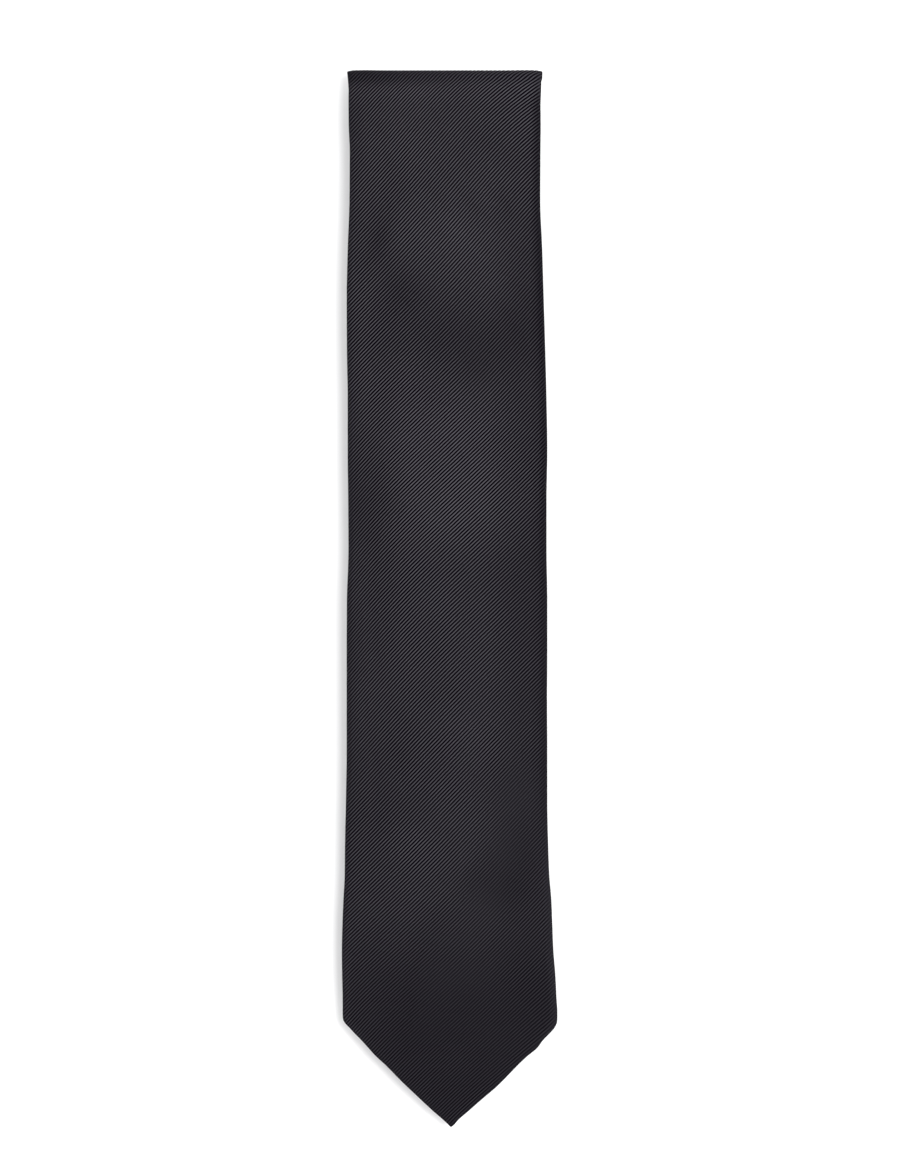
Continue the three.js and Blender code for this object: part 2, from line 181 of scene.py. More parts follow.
def hermite(t, knots, values):
    """Cubic through the knots, without overshoot beyond its neighbours' slopes."""
    d = np.diff(values) / np.diff(knots)
    m = np.zeros_like(values)
    m[0], m[-1] = d[0], d[-1]
    same = d[:-1] * d[1:] > 0
    m[1:-1] = np.where(same, 2 * d[:-1] * d[1:] / np.where(same, d[:-1] + d[1:], 1), 0)
    i = np.clip(np.searchsorted(knots, t, side="right") - 1, 0, len(knots) - 2)
    h = knots[i + 1] - knots[i]
    u = np.clip((t - knots[i]) / h, 0, 1)
    return ((1 + 2 * u) * (1 - u) ** 2 * values[i] + u * (1 - u) ** 2 * h * m[i]
            + u * u * (3 - 2 * u) * values[i + 1] + u * u * (u - 1) * h * m[i + 1])


def edges(s):
    s = np.asarray(s, float)
    return hermite(s, OUTLINE[:, 0], OUTLINE[:, 1]), hermite(s, OUTLINE[:, 0], OUTLINE[:, 2])


def middle(s):
    l, r = edges(s)
    return (l + r) / 2


def wing_ends(s):
    """Free edges of the two back wings, and how far the flap has stepped over the other wing."""
    s = np.asarray(s, float)
    l, r = edges(s)
    half, mid = (r - l) / 2, (l + r) / 2
    front = s < TIE_LENGTH / 2
    d = np.where(front, s, TIE_LENGTH - s)
    apex = np.where(front, BLADE_APEX, TAIL_APEX)
    margin = np.where(front, HEM_SHOWN, TAIL_HEM_SHOWN)
    inner = np.maximum(0.12, np.minimum(apex - d, half - margin))
    inner = np.where(half < margin + 0.12, 0.12, inner)
    lap = smooth(d, apex, apex + 7)
    open_ = d < apex
    left = np.where(open_, mid - inner, mid - 0.12 + 3.12 * lap)
    right = np.where(open_, mid + inner, mid + 0.12 - 4.12 * lap)
    step = np.clip((d - (apex - 7)) / 7, 0, 1)
    return left, right, step * step * (3 - 2 * step)


# =============================================================================================
# Direction of the twill rib: a smooth phase field, in ribs, over the front blade
# =============================================================================================
RIB = [(0, 1, 133.64), (0, 2, 10.766), (0, 3, -3.086), (0, 4, -27.993), (0, 5, 2.704), (0, 6, 14.883), (0, 7, 0.969),
       (1, 0, -24.482), (1, 1, 1.848), (1, 2, -5.973), (1, 3, -7.021), (1, 4, 8.831), (1, 5, -1.937), (1, 6, -5.086),
       (1, 7, 7.989), (2, 0, 0.848), (2, 1, -0.711), (2, 2, -11.594), (2, 3, 3.541), (2, 4, 20.24), (2, 5, -2.027),
       (2, 6, -6.667), (3, 0, -1.011), (3, 1, -0.442), (3, 2, 2.998), (3, 3, 0.864), (3, 4, -1.499), (3, 5, 0.749),
       (4, 0, 0.21), (4, 1, 0.57), (4, 2, 1.023), (4, 3, -1.878), (4, 4, -0.375)]
RIB_END = 408.0
RIB_PER_S = 0.645  # ribs for each mm along s where the field is plain


def blade_phase(x, s):
    x, s = np.asarray(x, float), np.asarray(s, float)
    sc = np.clip(s, 4.0, RIB_END)
    xc = np.clip(x, -41, 39)
    a, b = xc / 40, (sc - 210) / 210
    p = sum(c * a**i * b**j for i, j, c in RIB)
    # the ribs lie closer and flatter as the cloth turns down into the fold
    near_fold = 0.9 * np.exp((np.minimum(s, 417.5) - 416) / 3.2)
    return p + RIB_PER_S * (s - sc) - RIB_PER_S * (x - xc) + near_fold


PAINTED_LIGHT_PATCHES = [  # x, s, painted light (+) or painted shade (-), radius across, radius along
    (2.0, 354.0, 0.11, 20, 17), (4.0, 315.0, -0.24, 34, 14), (3.0, 250.0, 0.17, 24, 19), (-33.0, 240.0, -0.10, 9, 16),
    (2.0, 200.0, 0.06, 24, 10), (-12.0, 114.0, 0.06, 13, 10), (24.0, 106.0, -0.20, 17, 18), (6.0, 155.0, 0.08, 16, 8),
    (-19.0, 334.0, -0.18, 9, 9), (-29.0, 352.0, -0.14, 8, 14), (14.0, 302.0, -0.13, 9, 10), (-1.0, 277.0, 0.16, 13, 11),
    (-30.0, 262.0, -0.10, 10, 16), (-20.0, 246.0, -0.10, 8, 8), (-3.0, 236.0, 0.07, 9, 7), (18.0, 93.0, -0.16, 12, 9),
    (18.0, 134.0, -0.10, 12, 12), (-13.0, 128.0, -0.10, 9, 8), (-19.0, 148.0, -0.12, 8, 9), (-20.0, 372.0, -0.12, 9, 10)]

PAINTED_CREASE_LIGHT_AND_SHADE = [  # x, s, painted light (+) or painted crease shade (-), half length, half width, direction dx and ds
    (10.5, 362.0, -0.15, 8, 3.2, 9.9, -12.3), (21.5, 364.0, -0.12, 8, 3.0, 2.5, -15), (-29.0, 349.0, -0.11, 14, 3.5, -12.4, -27),
    (2.0, 353.0, 0.08, 13, 6.0, 13.5, -29), (10.0, 100.0, -0.12, 11, 5.5, -15, -22), (-31.0, 238.0, -0.11, 26, 8.0, 4, -24),
    (-17.0, 328.0, -0.09, 9, 6.0, 8, 3), (19.0, 250.0, -0.09, 9, 6.0, 0, 1), (-3.8, 208.0, 0.09, 10, 6.0, 0, 1),
    (17.0, 392.0, -0.09, 8, 3.5, 7.4, -9.9), (1.0, 162.0, 0.06, 11, 4.5, 17, -15)]

FLAT = [  # x, s, how much more or less the rib and its painted crest highlight show, radius across, radius along
    (28.0, 131.0, -0.45, 10, 13), (15.0, 91.0, -0.42, 10, 8), (24.0, 109.0, -0.42, 10, 9), (1.0, 58.0, -0.20, 20, 6),
    (11.0, 46.0, 0.14, 12, 6), (-16.0, 36.0, -0.18, 9, 8), (27.0, 58.0, 0.24, 9, 11), (4.0, 28.0, 0.20, 10, 8)]


def rib_show_and_painted_light(x, s):
    """How strongly the rib shows (partly flatter cloth, partly a painted crest highlight), and the painted light and
    shade of the cloth, for points of the face.
    """
    x, s = np.asarray(x, float), np.asarray(s, float)
    front = smooth(s, 470, 410)
    low = smooth(s, 112, 44)
    # painted shade: darker towards the point, and down the left and right sides
    b = 1.03 - 0.54 * low
    b = b * (1 - 0.24 * smooth(-x, 12, 38) * (1 - 0.6 * low)) * (1 - 0.24 * smooth(x, 10, 33) * (1 - 0.85 * low) * (1 - 0.8 * smooth(s, 335, 400)))
    # painted light and shade in bands along the blade: a painted highlight just before the fold, painted shade where it
    # turns under
    b = 0.955 * b * (1 + 0.06 * smooth(s, 240, 205) + 0.04 * smooth(s, 125, 85)) * (1 + 0.10 * smooth(s, 404, 409) * smooth(s, 415.5, 412.5) - 0.12 * smooth(s, 414, 417))
    b = b * (1 - 0.06 * smooth(s, 350, 390)) * (1 - 0.07 * smooth(-x, 6, 22) * smooth(s, 60, 125)) * (1 + (0.0065 * x - 0.07) * smooth(s, 411, 415))
    # painted light patches and painted crease light and shade over the face
    for bx, bs, k, rx, rs in PAINTED_LIGHT_PATCHES:
        b = b + k * np.exp(-(((x - bx) / rx) ** 2) - ((s - bs) / rs) ** 2)
    for bx, bs, k, long_, wide, dx, ds in PAINTED_CREASE_LIGHT_AND_SHADE:
        n = math.hypot(dx, ds)
        u, v = ((x - bx) * dx + (s - bs) * ds) / n, ((x - bx) * ds - (s - bs) * dx) / n
        b = b + k * np.exp(-((u / long_) ** 2) - (v / wide) ** 2)
    # rib strength: weaker towards the point and in flat spots, partly flatter cloth and partly a fading painted crest
    # highlight
    c = 1.50 - 0.46 * smooth(s, 250, 190) + 0.35 * smooth(s, 44, 24) * smooth(20 - np.abs(x), 0, 12) - 0.28 * smooth(s, 95, 45) * (1 - 0.9 * smooth(-x, 5, 30))
    c = c * (1 + 0.45 * smooth(-x, 4, 26) + 0.35 * smooth(-x, 24, 36)) * (1 + 0.06 * smooth(x, 8, 20))
    c = c * (1 - 0.10 * smooth(x, -4, 10) * smooth(s, 250, 225)) + 0.22 * smooth(s, 345, 385)
    for bx, bs, k, rx, rs in FLAT:
        c = c + k * np.exp(-(((x - bx) / rx) ** 2) - ((s - bs) / rs) ** 2)
    c = c * (1 - 0.3 * smooth(s, 411, 416))
    b = front * b + (1 - front) * 0.92
    c = front * c + (1 - front) * 0.95
    l, r = edges(s)
    c = c * (0.45 + 0.55 * smooth(r - x, 0.3, 3.6)) * (0.6 + 0.4 * smooth(x - l, 0.3, 2.2))
    # painted shade along the rolled right and left edges, painted light along the edges near the point
    left, right = smooth(s, 60, 130) * smooth(s, 415, 400), smooth(s, 92, 145) * smooth(s, 412, 404)
    b = b * (1 - 0.42 * front * right * smooth(r - x, 5.0, 1.0)) * (1 - 0.18 * front * left * smooth(x - l, 6.0, 1.0))
    b = b * (1 + 0.32 * smooth(s, 78, 60) * smooth(s, 30, 40) * smooth(np.minimum(r - x, x - l), 4.0, 0.8))
    return np.stack([np.clip(c, 0.1, 2.6), np.clip(b, 0.1, 1.3)], -1)


def plain_phase(x, s):
    return RIB_PER_S * (np.asarray(s, float) - 0.98 * np.asarray(x, float))


# =============================================================================================
# Shell panels. Each is one sheet: the face, the rolled edges and the two wings with turned-under
# free edges. The face and wings are triangulated along the ribs, so the rib is in the mesh.
# =============================================================================================
ROLL_FACE, ROLL_BACK = 3.3, 2.0
FACE_T = np.radians([0, 14, 28, 42, 56, 72, 90])
BACK_T = np.radians([0, 20, 42, 66, 90])
RIB_H = 0.10


def outline_distance(x, s, samples):
    """Distance of each point from the side edges of a panel, in the flat."""
    l, r = edges(samples)
    pts = [np.stack([l, samples], -1), np.stack([r, samples], -1)]
    segs = [(p[:-1], p[1:]) for p in pts]
    for end in (0.0, TIE_LENGTH):
        if abs(samples[0] - end) < 1e-6 or abs(samples[-1] - end) < 1e-6:
            a, b = edges(np.array([end]))
            segs.append((np.array([[a[0], end]]), np.array([[b[0], end]])))
    out = np.full(len(x), 1e9)
    q = np.stack([x, s], -1)
    for a, b in segs:
        for k in range(0, len(a), 64):
            aa, bb = a[k:k + 64], b[k:k + 64]
            near = (s > min(aa[:, 1].min(), bb[:, 1].min()) - 6) & (s < max(aa[:, 1].max(), bb[:, 1].max()) + 6)
            if not near.any():
                continue
            v = bb - aa
            w = q[near][:, None] - aa[None]
            t = np.clip((w * v).sum(-1) / np.maximum((v * v).sum(-1), 1e-12), 0, 1)
            d = np.linalg.norm(w - t[..., None] * v, axis=-1).min(1)
            out[near] = np.minimum(out[near], d)
    return out


def inset(xs, samples, distance, sign):
    """The edge curve moved inward by distance. sign +1 for the left edge."""
    p = np.stack([xs, samples], -1)
    t = np.gradient(p, axis=0)
    t /= np.linalg.norm(t, axis=1)[:, None]
    n = np.stack([t[:, 1], -t[:, 0]], -1) * sign
    return p + n * distance


class Plan:
    """Points and constraint lines of one flat region, for the constrained triangulation."""

    def __init__(self):
        self.pts, self.lines = [], []
        self.count = 0

    def line(self, p, closed=False):
        p = np.asarray(p, float)
        if len(p) < 2:
            return
        i = self.count + np.arange(len(p))
        self.pts.append(p)
        self.count += len(p)
        e = np.stack([i[:-1], i[1:]], -1)
        if closed:
            e = np.vstack([e, [i[-1], i[0]]])
        self.lines.append(e)

    @staticmethod
    def snap(v, at, lo, hi):
        """Puts points that belong on the outline exactly on it again."""
        i = np.clip(np.searchsorted(at, v[:, 1]), 1, len(at) - 1)
        i = i - (np.abs(v[:, 1] - at[i - 1]) < np.abs(v[:, 1] - at[i]))
        near = np.abs(v[:, 1] - at[i]) < 6e-4
        v[near, 1] = at[i[near]]
        for edge in (lo, hi):
            on = near & (np.abs(v[:, 0] - edge[i]) < 6e-4)
            v[on, 0] = edge[i[on]]
        return v

    def triangulate(self, at, lo, hi):
        """Triangles whose middle lies between the curves lo and hi, given at the s values at."""
        pts = np.vstack(self.pts)
        e = np.vstack(self.lines)
        out = delaunay_2d_cdt([Vector((float(a), float(b))) for a, b in pts], [tuple(map(int, k)) for k in e], [], 1, 1e-4, False)
        verts = np.array([(v.x, v.y) for v in out[0]])
        faces = np.array([f for f in out[2] if len(f) == 3])
        mid = verts[faces].mean(1)
        inside = (mid[:, 0] > np.interp(mid[:, 1], at, lo)) & (mid[:, 0] < np.interp(mid[:, 1], at, hi))
        return self.snap(verts, at, lo, hi), faces[inside]


def rib_lines(plan, phase, lo, hi, s0, s1, per_rib, step):
    """Lines of equal phase inside lo(s) < x < hi(s)."""
    xa, xb = -43.0, 43.0
    xs = np.arange(xa, xb + 0.01, 0.5)
    grid_s = np.arange(s0 - 1, s1 + 1, 1.0)
    table = np.array([phase(np.full_like(grid_s, x), grid_s) for x in xs])  # monotone along s
    first, last = table.min(), table.max()
    keep_every = max(1, round(step / 0.5))
    js = np.arange(math.ceil(first * per_rib), math.floor(last * per_rib) + 1)
    s_of = np.array([np.interp(js / per_rib, table[i], grid_s, left=np.nan, right=np.nan) for i in range(len(xs))])
    for j in range(len(js)):
        s = s_of[:, j]
        ok = ~np.isnan(s)
        ok[ok] &= (s[ok] > s0) & (s[ok] < s1)
        if not ok.any():
            continue
        ss = np.where(ok, s, s0)
        ok &= (xs > lo(ss)) & (xs < hi(ss))
        idx = np.flatnonzero(ok)
        if len(idx) < 2:
            continue
        for run in np.split(idx, np.flatnonzero(np.diff(idx) > 1) + 1):
            if len(run) < 2:
                continue
            inner = [k for k in run[1:-1] if k % keep_every == 0]
            take = [run[0], *inner, run[-1]]
            plan.line(np.stack([xs[take], s[take]], -1))


def skewed(x, s, s0, s1, first_is_seam, last_is_seam):
    """s moved so that a panel's seamed ends run slantwise."""
    k = SEAM_SLOPE * np.clip(x - middle(np.clip(s, s0, s1)), -18, 18)
    w = np.zeros_like(s)
    if last_is_seam:
        w = w + np.clip(1 - (s1 - s) / 60, 0, 1)
    if first_is_seam:
        w = w + np.clip(1 - (s - s0) / 60, 0, 1)
    return s + k * w


def shell_panel(name, s0, s1, first_is_seam, last_is_seam, fine_until, phase):
    """Builds one shell panel and returns its object and the developed area of its cut in mm2."""
    # edge samples
    parts = [np.arange(s0, min(s1, fine_until), 1.0)] if fine_until > s0 else []
    at = fine_until if fine_until > s0 else s0
    folds = [f for f in ((S1, S1E), (S2, S2E), (S3, S3E)) if f[0] > s0 and f[1] < s1]
    coarse = np.arange(at, s1, 3.0)
    parts.append(coarse)
    for a, b in folds:
        parts.append(np.linspace(a - 1, b + 1, 27))
    for a in (0.0, TIE_LENGTH):
        if s0 <= a <= s1:
            sign = 1 if a == 0 else -1
            parts.append(a + sign * np.array([0, 0.3, 0.6, 1.1, 1.8, 2.7, 4.0]))
            parts.append(a + sign * np.arange(5, 60, 1.0))
    seam_at = np.array([0.12, 0.3, 0.5, 0.75, 1.1, 1.6])
    if first_is_seam:
        parts.append(s0 + seam_at)
    if last_is_seam:
        parts.append(s1 - seam_at)
    samples = np.unique(np.round(np.concatenate([*parts, [s0, s1]]), 3))
    samples = samples[(samples >= s0) & (samples <= s1)]
    samples = samples[np.r_[True, np.diff(samples) > 0.12]]
    if samples[-1] != s1:
        samples[-1] = s1
    l, r = edges(samples)

    across = np.zeros(len(samples), bool)
    for a, b in folds:
        across |= (samples > a - 1.2) & (samples < b + 1.2)
    if first_is_seam:
        across |= (samples > s0 + 0.05) & (samples < s0 + 2)
    if last_is_seam:
        across |= (samples < s1 - 0.05) & (samples > s1 - 2)
    across = np.flatnonzero(across)

    def rows_across(plan, a, b):
        for i in across:
            if b[i] - a[i] > 0.5:
                plan.line(np.array([(a[i], samples[i]), (b[i], samples[i])]))

    def boundary(a, b):
        return np.vstack([np.stack([a, samples], -1), np.stack([b, samples], -1)[::-1]])

    def add_insets(plan, xs, sign, roll, angles, half_limit):
        for t in angles[1:]:
            d = roll * (1 - math.cos(t))
            p = inset(xs, samples, d, sign)
            el, er = edges(np.clip(p[:, 1], s0, s1))
            ok = (p[:, 1] > s0 + 0.02) & (p[:, 1] < s1 - 0.02) & (p[:, 0] > el) & (p[:, 0] < er)
            ok &= outline_distance(p[:, 0], p[:, 1], samples) > d * 0.985
            ok &= half_limit(p)
            idx = np.flatnonzero(ok)
            if len(idx) > 1:
                for run in np.split(idx, np.flatnonzero(np.diff(idx) > 1) + 1):
                    plan.line(p[run])

    # ---- face
    face = Plan()
    face.line(boundary(l, r), closed=True)
    mid = (l + r) / 2
    add_insets(face, l, 1, ROLL_FACE, FACE_T, lambda p: p[:, 0] < middle(np.clip(p[:, 1], s0, s1)))
    add_insets(face, r, -1, ROLL_FACE, FACE_T, lambda p: p[:, 0] > middle(np.clip(p[:, 1], s0, s1)))
    slant = 1.3

    def lo(m):
        return lambda s: edges(s)[0] + m * np.where((s < 41) | (s > TIE_LENGTH - 24), 1.42, 1)

    def hi(m):
        return lambda s: edges(s)[1] - m * np.where((s < 41) | (s > TIE_LENGTH - 24), 1.42, 1)

    if fine_until > s0:
        rib_lines(face, phase, lo(0.75), hi(0.75), s0 + 1.0, fine_until - 0.2, 4, 3.0)
    rib_lines(face, phase, lo(0.9), hi(0.9), max(s0 + 0.5, fine_until + 0.2), s1 - 0.5, 2, 4.0)
    rows_across(face, l, r)
    fv, ff = face.triangulate(samples, l, r)

    # ---- wings
    xl, xr, step = wing_ends(samples)
    left, right = Plan(), Plan()
    left.line(np.vstack([np.stack([l, samples], -1), np.stack([xl, samples], -1)[::-1]]), closed=True)
    right.line(np.vstack([np.stack([xr, samples], -1), np.stack([r, samples], -1)[::-1]]), closed=True)

    def inside_wing(which):
        def f(p):
            a, b, _ = wing_ends(np.clip(p[:, 1], s0, s1))
            return p[:, 0] < a - 0.35 if which == "l" else p[:, 0] > b + 0.35
        return f

    add_insets(left, l, 1, ROLL_BACK, BACK_T, inside_wing("l"))
    add_insets(right, r, -1, ROLL_BACK, BACK_T, inside_wing("r"))
    for d in (0.06, 0.22, 0.45):
        for plan, x, edge, sg in ((left, xl, l, -1), (right, xr, r, 1)):
            p = np.stack([x + sg * d, samples], -1)
            ok = (np.abs(x - edge) > 1.2) & (samples > s0 + 0.05) & (samples < s1 - 0.05)
            idx = np.flatnonzero(ok)
            if len(idx) > 1:
                for run in np.split(idx, np.flatnonzero(np.diff(idx) > 1) + 1):
                    plan.line(p[run])
    for back in (11.0, 9.7, 8.5):
        p = np.stack([xl - back, samples], -1)
        ok = (p[:, 0] > l + 2.4) & (step > 0.01) & (samples > s0 + 0.5) & (samples < s1 - 0.5)
        idx = np.flatnonzero(ok)
        if len(idx) > 1:
            for run in np.split(idx, np.flatnonzero(np.diff(idx) > 1) + 1):
                left.line(p[run])
    wing_phase_l = lambda x, s: phase(2 * edges(s)[0] - x, s)
    wing_phase_r = lambda x, s: phase(2 * edges(s)[1] - x, s)
    plain = lambda x, s: RIB_PER_S * (s + 0.98 * x)
    rib_lines(left, plain, lo(1.0), lambda s: wing_ends(s)[0] - 0.8, s0 + 1.0, s1 - 0.5, 2, 4.0)
    rib_lines(right, plain, lambda s: wing_ends(s)[1] + 0.8, hi(1.0), s0 + 1.0, s1 - 0.5, 2, 4.0)
    rows_across(left, l, xl)
    rows_across(right, xr, r)
    lv, lf = left.triangulate(samples, l, xl)
    rv, rf = right.triangulate(samples, xr, r)

    # ---- heights
    def rolled(d, roll):
        t = np.arccos(np.clip(1 - d / roll, 0, 1))
        return np.sin(t)

    def pinch(s):
        q = np.zeros_like(s)
        for a, b in folds:
            q = q + 0.5 * smooth(s, a - 9, a) * smooth(s, b + 9, b)
        return q

    def closing(x, s):  # the point closes to a thin edge
        e = np.minimum(np.where(s0 <= 0.01, s, 99), np.where(s1 >= TIE_LENGTH - 0.01, TIE_LENGTH - s, 99))
        return np.clip(0.25 + 0.75 * np.sqrt(np.clip(e / 2.2, 0, 1)), 0, 1)

    def groove(s):
        g = np.zeros_like(s)
        if first_is_seam:
            g = g + np.exp(-(((s - s0) / 0.55) ** 2))
        if last_is_seam:
            g = g + np.exp(-(((s1 - s) / 0.55) ** 2))
        return g

    verts, faces, ph, al, tones, along = [], [], [], [], [], []

    def finish_region(v, f, side):
        x, s = v[:, 0], v[:, 1]
        d = outline_distance(x, s, samples)
        d[d < 2e-3] = 0
        c = closing(x, s)
        if side == "face":
            p = phase(x, s)
            amp = RIB_H * smooth(d, 0.5, 2.6) * smooth(np.minimum(s, TIE_LENGTH - s), 0.5, 4)
            # pressed flatter towards the point
            amp = amp * (1 - 0.32 * smooth(s, 240, 195) * np.maximum(smooth(x, -26, -8), smooth(s, 115, 80)))
            e = pinch(s)
            h = MID_H + e + (HALF_H - e) * rolled(d, ROLL_FACE) * c + amp * np.cos(2 * np.pi * p)
            # the cloth swells a little between the rolled edge and the middle
            h = h + 0.10 * np.exp(-(((d - 7) / 5) ** 2)) * smooth(d, 0.3, 3)
            h = h - 0.32 * groove(s)
        else:
            p = plain(x, s)
            xl_, xr_, st = wing_ends(s)
            amp = 0.055 * smooth(d, 0.6, 2.6)
            e = pinch(s)
            level = e - (HALF_H + e) * rolled(d, ROLL_BACK) * c
            if side == "left":
                f_d = xl_ - x
                level = level - 0.5 * st * smooth(xl_ - x, 11.0, 8.5)
            else:
                f_d = x - xr_
            curl = 0.30 * (1 - np.sqrt(np.clip(1 - (1 - np.clip(f_d / 0.45, 0, 1)) ** 2, 0, 1))) * c
            level = level + curl * np.minimum(1, d / 0.6)
            h = MID_H + level - amp * smooth(f_d, 0.3, 1.2) * np.cos(2 * np.pi * p)
            h = h + 0.32 * groove(s)
            # a pressed hem lies a little proud along the free edge
            h = h - 0.07 * np.exp(-(((f_d - 3.0) / 2.2) ** 2)) * smooth(d, 1, 4) * smooth(f_d, 0, 1)
        ss = skewed(x, s, s0, s1, first_is_seam, last_is_seam)
        xyz = place(x, ss, h)
        base = sum(len(k) for k in verts)
        tri = f.copy()
        # orientation: the face looks along +h, the wings along -h
        a, b, c3 = (v[tri[:, k]] for k in range(3))
        area = (b[:, 0] - a[:, 0]) * (c3[:, 1] - a[:, 1]) - (b[:, 1] - a[:, 1]) * (c3[:, 0] - a[:, 0])
        flip = (area < 0) if side == "face" else (area > 0)
        tri[flip] = tri[flip][:, ::-1]
        tri = tri[np.abs(area) > 1e-7]
        verts.append(xyz)
        faces.append(tri + base)
        ph.append(p)
        al.append(RIB_PER_S * (x + s) if side == "face" else RIB_PER_S * (s - x))
        along.append(ss)
        tones.append(rib_show_and_painted_light(x, s) if side == "face" else np.tile([0.85, 0.85], (len(x), 1)))
        return np.abs(area).sum() / 2

    area = finish_region(fv, ff, "face")
    area += finish_region(lv, lf, "left") + finish_region(rv, rf, "right")

    # ---- turned-under hems along the free edges of the wings
    for which in ("left", "right"):
        xe = xl if which == "left" else xr
        limit = (xe - l) if which == "left" else (r - xe)
        sg = -1 if which == "left" else 1
        stp = step if which == "left" else 0 * step
        rows, rows_s = [], []
        c = closing(xe, samples)
        for back, lift in ((0.0, 0.30), (0.35, 0.36), (2.2, 0.36), (5.0, 0.34)):
            back_x = np.minimum(back, np.clip(limit - 0.9, 0, None))
            level = MID_H + (-HALF_H * c - 0.5 * stp + lift * c) + 0.32 * groove(samples)
            rows_s.append(skewed(xe + sg * back_x, samples, s0, s1, first_is_seam, last_is_seam))
            rows.append(place(xe + sg * back_x, rows_s[-1], level))
        grid = np.stack(rows, 1)
        n, m = grid.shape[:2]
        base = sum(len(k) for k in verts)
        idx = base + np.arange(n * m).reshape(n, m)
        q = np.stack([idx[:-1, :-1], idx[1:, :-1], idx[1:, 1:], idx[:-1, 1:]], -1).reshape(-1, 4)
        tri = np.vstack([q[:, [0, 1, 2]], q[:, [0, 2, 3]]])
        if which == "right":
            tri = tri[:, ::-1]
        verts.append(grid.reshape(-1, 3))
        along.append(np.stack(rows_s, 1).ravel())
        faces.append(tri)
        xx = np.stack([xe] * m, 1).ravel()
        sx = np.stack([samples] * m, 1).ravel()
        ph.append(plain(xx, sx))
        al.append(RIB_PER_S * (sx - xx))
        tones.append(np.tile([0.85, 0.85], (n * m, 1)))
        area += integral(np.minimum(5.0, np.clip(limit - 0.9, 0, None)), samples)

    V = np.vstack(verts)
    F = np.vstack(faces)
    obj = new_mesh(name, V, F, uv=np.stack([np.concatenate(ph), np.concatenate(al)], -1), weld=0.004, tone_uv=np.vstack(tones),
                   along=np.concatenate(along))
    return obj, area


def new_mesh(name, verts_mm, faces, uv=None, weld=0.0, smooth_shade=True, tone_uv=None, along=None):
    """A mesh object from mm vertices. uv is one pair for each vertex, kept in the UV map Rib."""
    V = np.asarray(verts_mm, float)
    F = np.asarray(faces)
    if weld:
        key = np.round(V / weld).astype(np.int64)
        _, first, inverse = np.unique(key, axis=0, return_index=True, return_inverse=True)
        inverse = inverse.ravel()
        V = V[first]
        along = None if along is None else np.asarray(along)[first]
        corner_uv = uv[F] if uv is not None else None
        corner_tone = tone_uv[F] if tone_uv is not None else None
        F = inverse[F]
        good = np.ones(len(F), bool)
        for a in range(F.shape[1]):
            for b in range(a + 1, F.shape[1]):
                good &= F[:, a] != F[:, b]
        F = F[good]
        if corner_uv is not None:
            corner_uv = corner_uv[good]
        if corner_tone is not None:
            corner_tone = corner_tone[good]
        used = np.unique(F)
        remap = np.full(len(V), -1)
        remap[used] = np.arange(len(used))
        V, F = V[used], remap[F]
        along = None if along is None else along[used]
    else:
        corner_uv = uv[F] if uv is not None else None
        corner_tone = tone_uv[F] if tone_uv is not None else None
    mesh = bpy.data.meshes.new(name)
    n, k = F.shape
    mesh.vertices.add(len(V))
    mesh.vertices.foreach_set("co", (V * MM).astype(np.float32).ravel())
    mesh.loops.add(n * k)
    mesh.loops.foreach_set("vertex_index", F.astype(np.int32).ravel())
    mesh.polygons.add(n)
    mesh.polygons.foreach_set("loop_start", np.arange(0, n * k, k, dtype=np.int32))
    mesh.polygons.foreach_set("loop_total", np.full(n, k, np.int32))
    if corner_uv is not None:
        layer = mesh.uv_layers.new(name="Rib")
        layer.data.foreach_set("uv", corner_uv.astype(np.float32).reshape(-1, 2).ravel())
    if corner_tone is not None:
        layer = mesh.uv_layers.new(name="RibShowPaintedLight")
        layer.data.foreach_set("uv", corner_tone.astype(np.float32).reshape(-1, 2).ravel())
    mesh.update(calc_edges=True)
    mesh.validate()
    if smooth_shade:
        mesh.polygons.foreach_set("use_smooth", np.ones(len(mesh.polygons), bool))
    obj = bpy.data.objects.new(name, mesh)
    scene.collection.objects.link(obj)
    return obj


def slab(name, samples, columns, uv_scale=1.0):
    """A closed strip swept along s. columns(s) gives (x, top h, low h) arrays, one row for each s."""
    x, top, low = columns(np.asarray(samples, float))
    n, m = x.shape
    s = np.broadcast_to(np.asarray(samples, float)[:, None], x.shape)
    a, b = place(x, s, top), place(x, s, low)
    V = np.vstack([a.reshape(-1, 3), b.reshape(-1, 3)])
    i = np.arange(n * m).reshape(n, m)
    j = i + n * m
    quads = [np.stack([i[:-1, :-1], i[:-1, 1:], i[1:, 1:], i[1:, :-1]], -1).reshape(-1, 4),
             np.stack([j[:-1, :-1], j[1:, :-1], j[1:, 1:], j[:-1, 1:]], -1).reshape(-1, 4),
             np.stack([i[:-1, 0], i[1:, 0], j[1:, 0], j[:-1, 0]], -1),
             np.stack([i[:-1, -1], j[:-1, -1], j[1:, -1], i[1:, -1]], -1),
             np.stack([i[0, :-1], j[0, :-1], j[0, 1:], i[0, 1:]], -1),
             np.stack([i[-1, :-1], i[-1, 1:], j[-1, 1:], j[-1, :-1]], -1)]
    uv = np.stack([np.r_[x.ravel(), x.ravel()], np.r_[s.ravel(), s.ravel()]], -1) * uv_scale
    return new_mesh(name, V, np.vstack(quads), uv=uv, weld=0.0, along=np.r_[s.ravel(), s.ravel()])


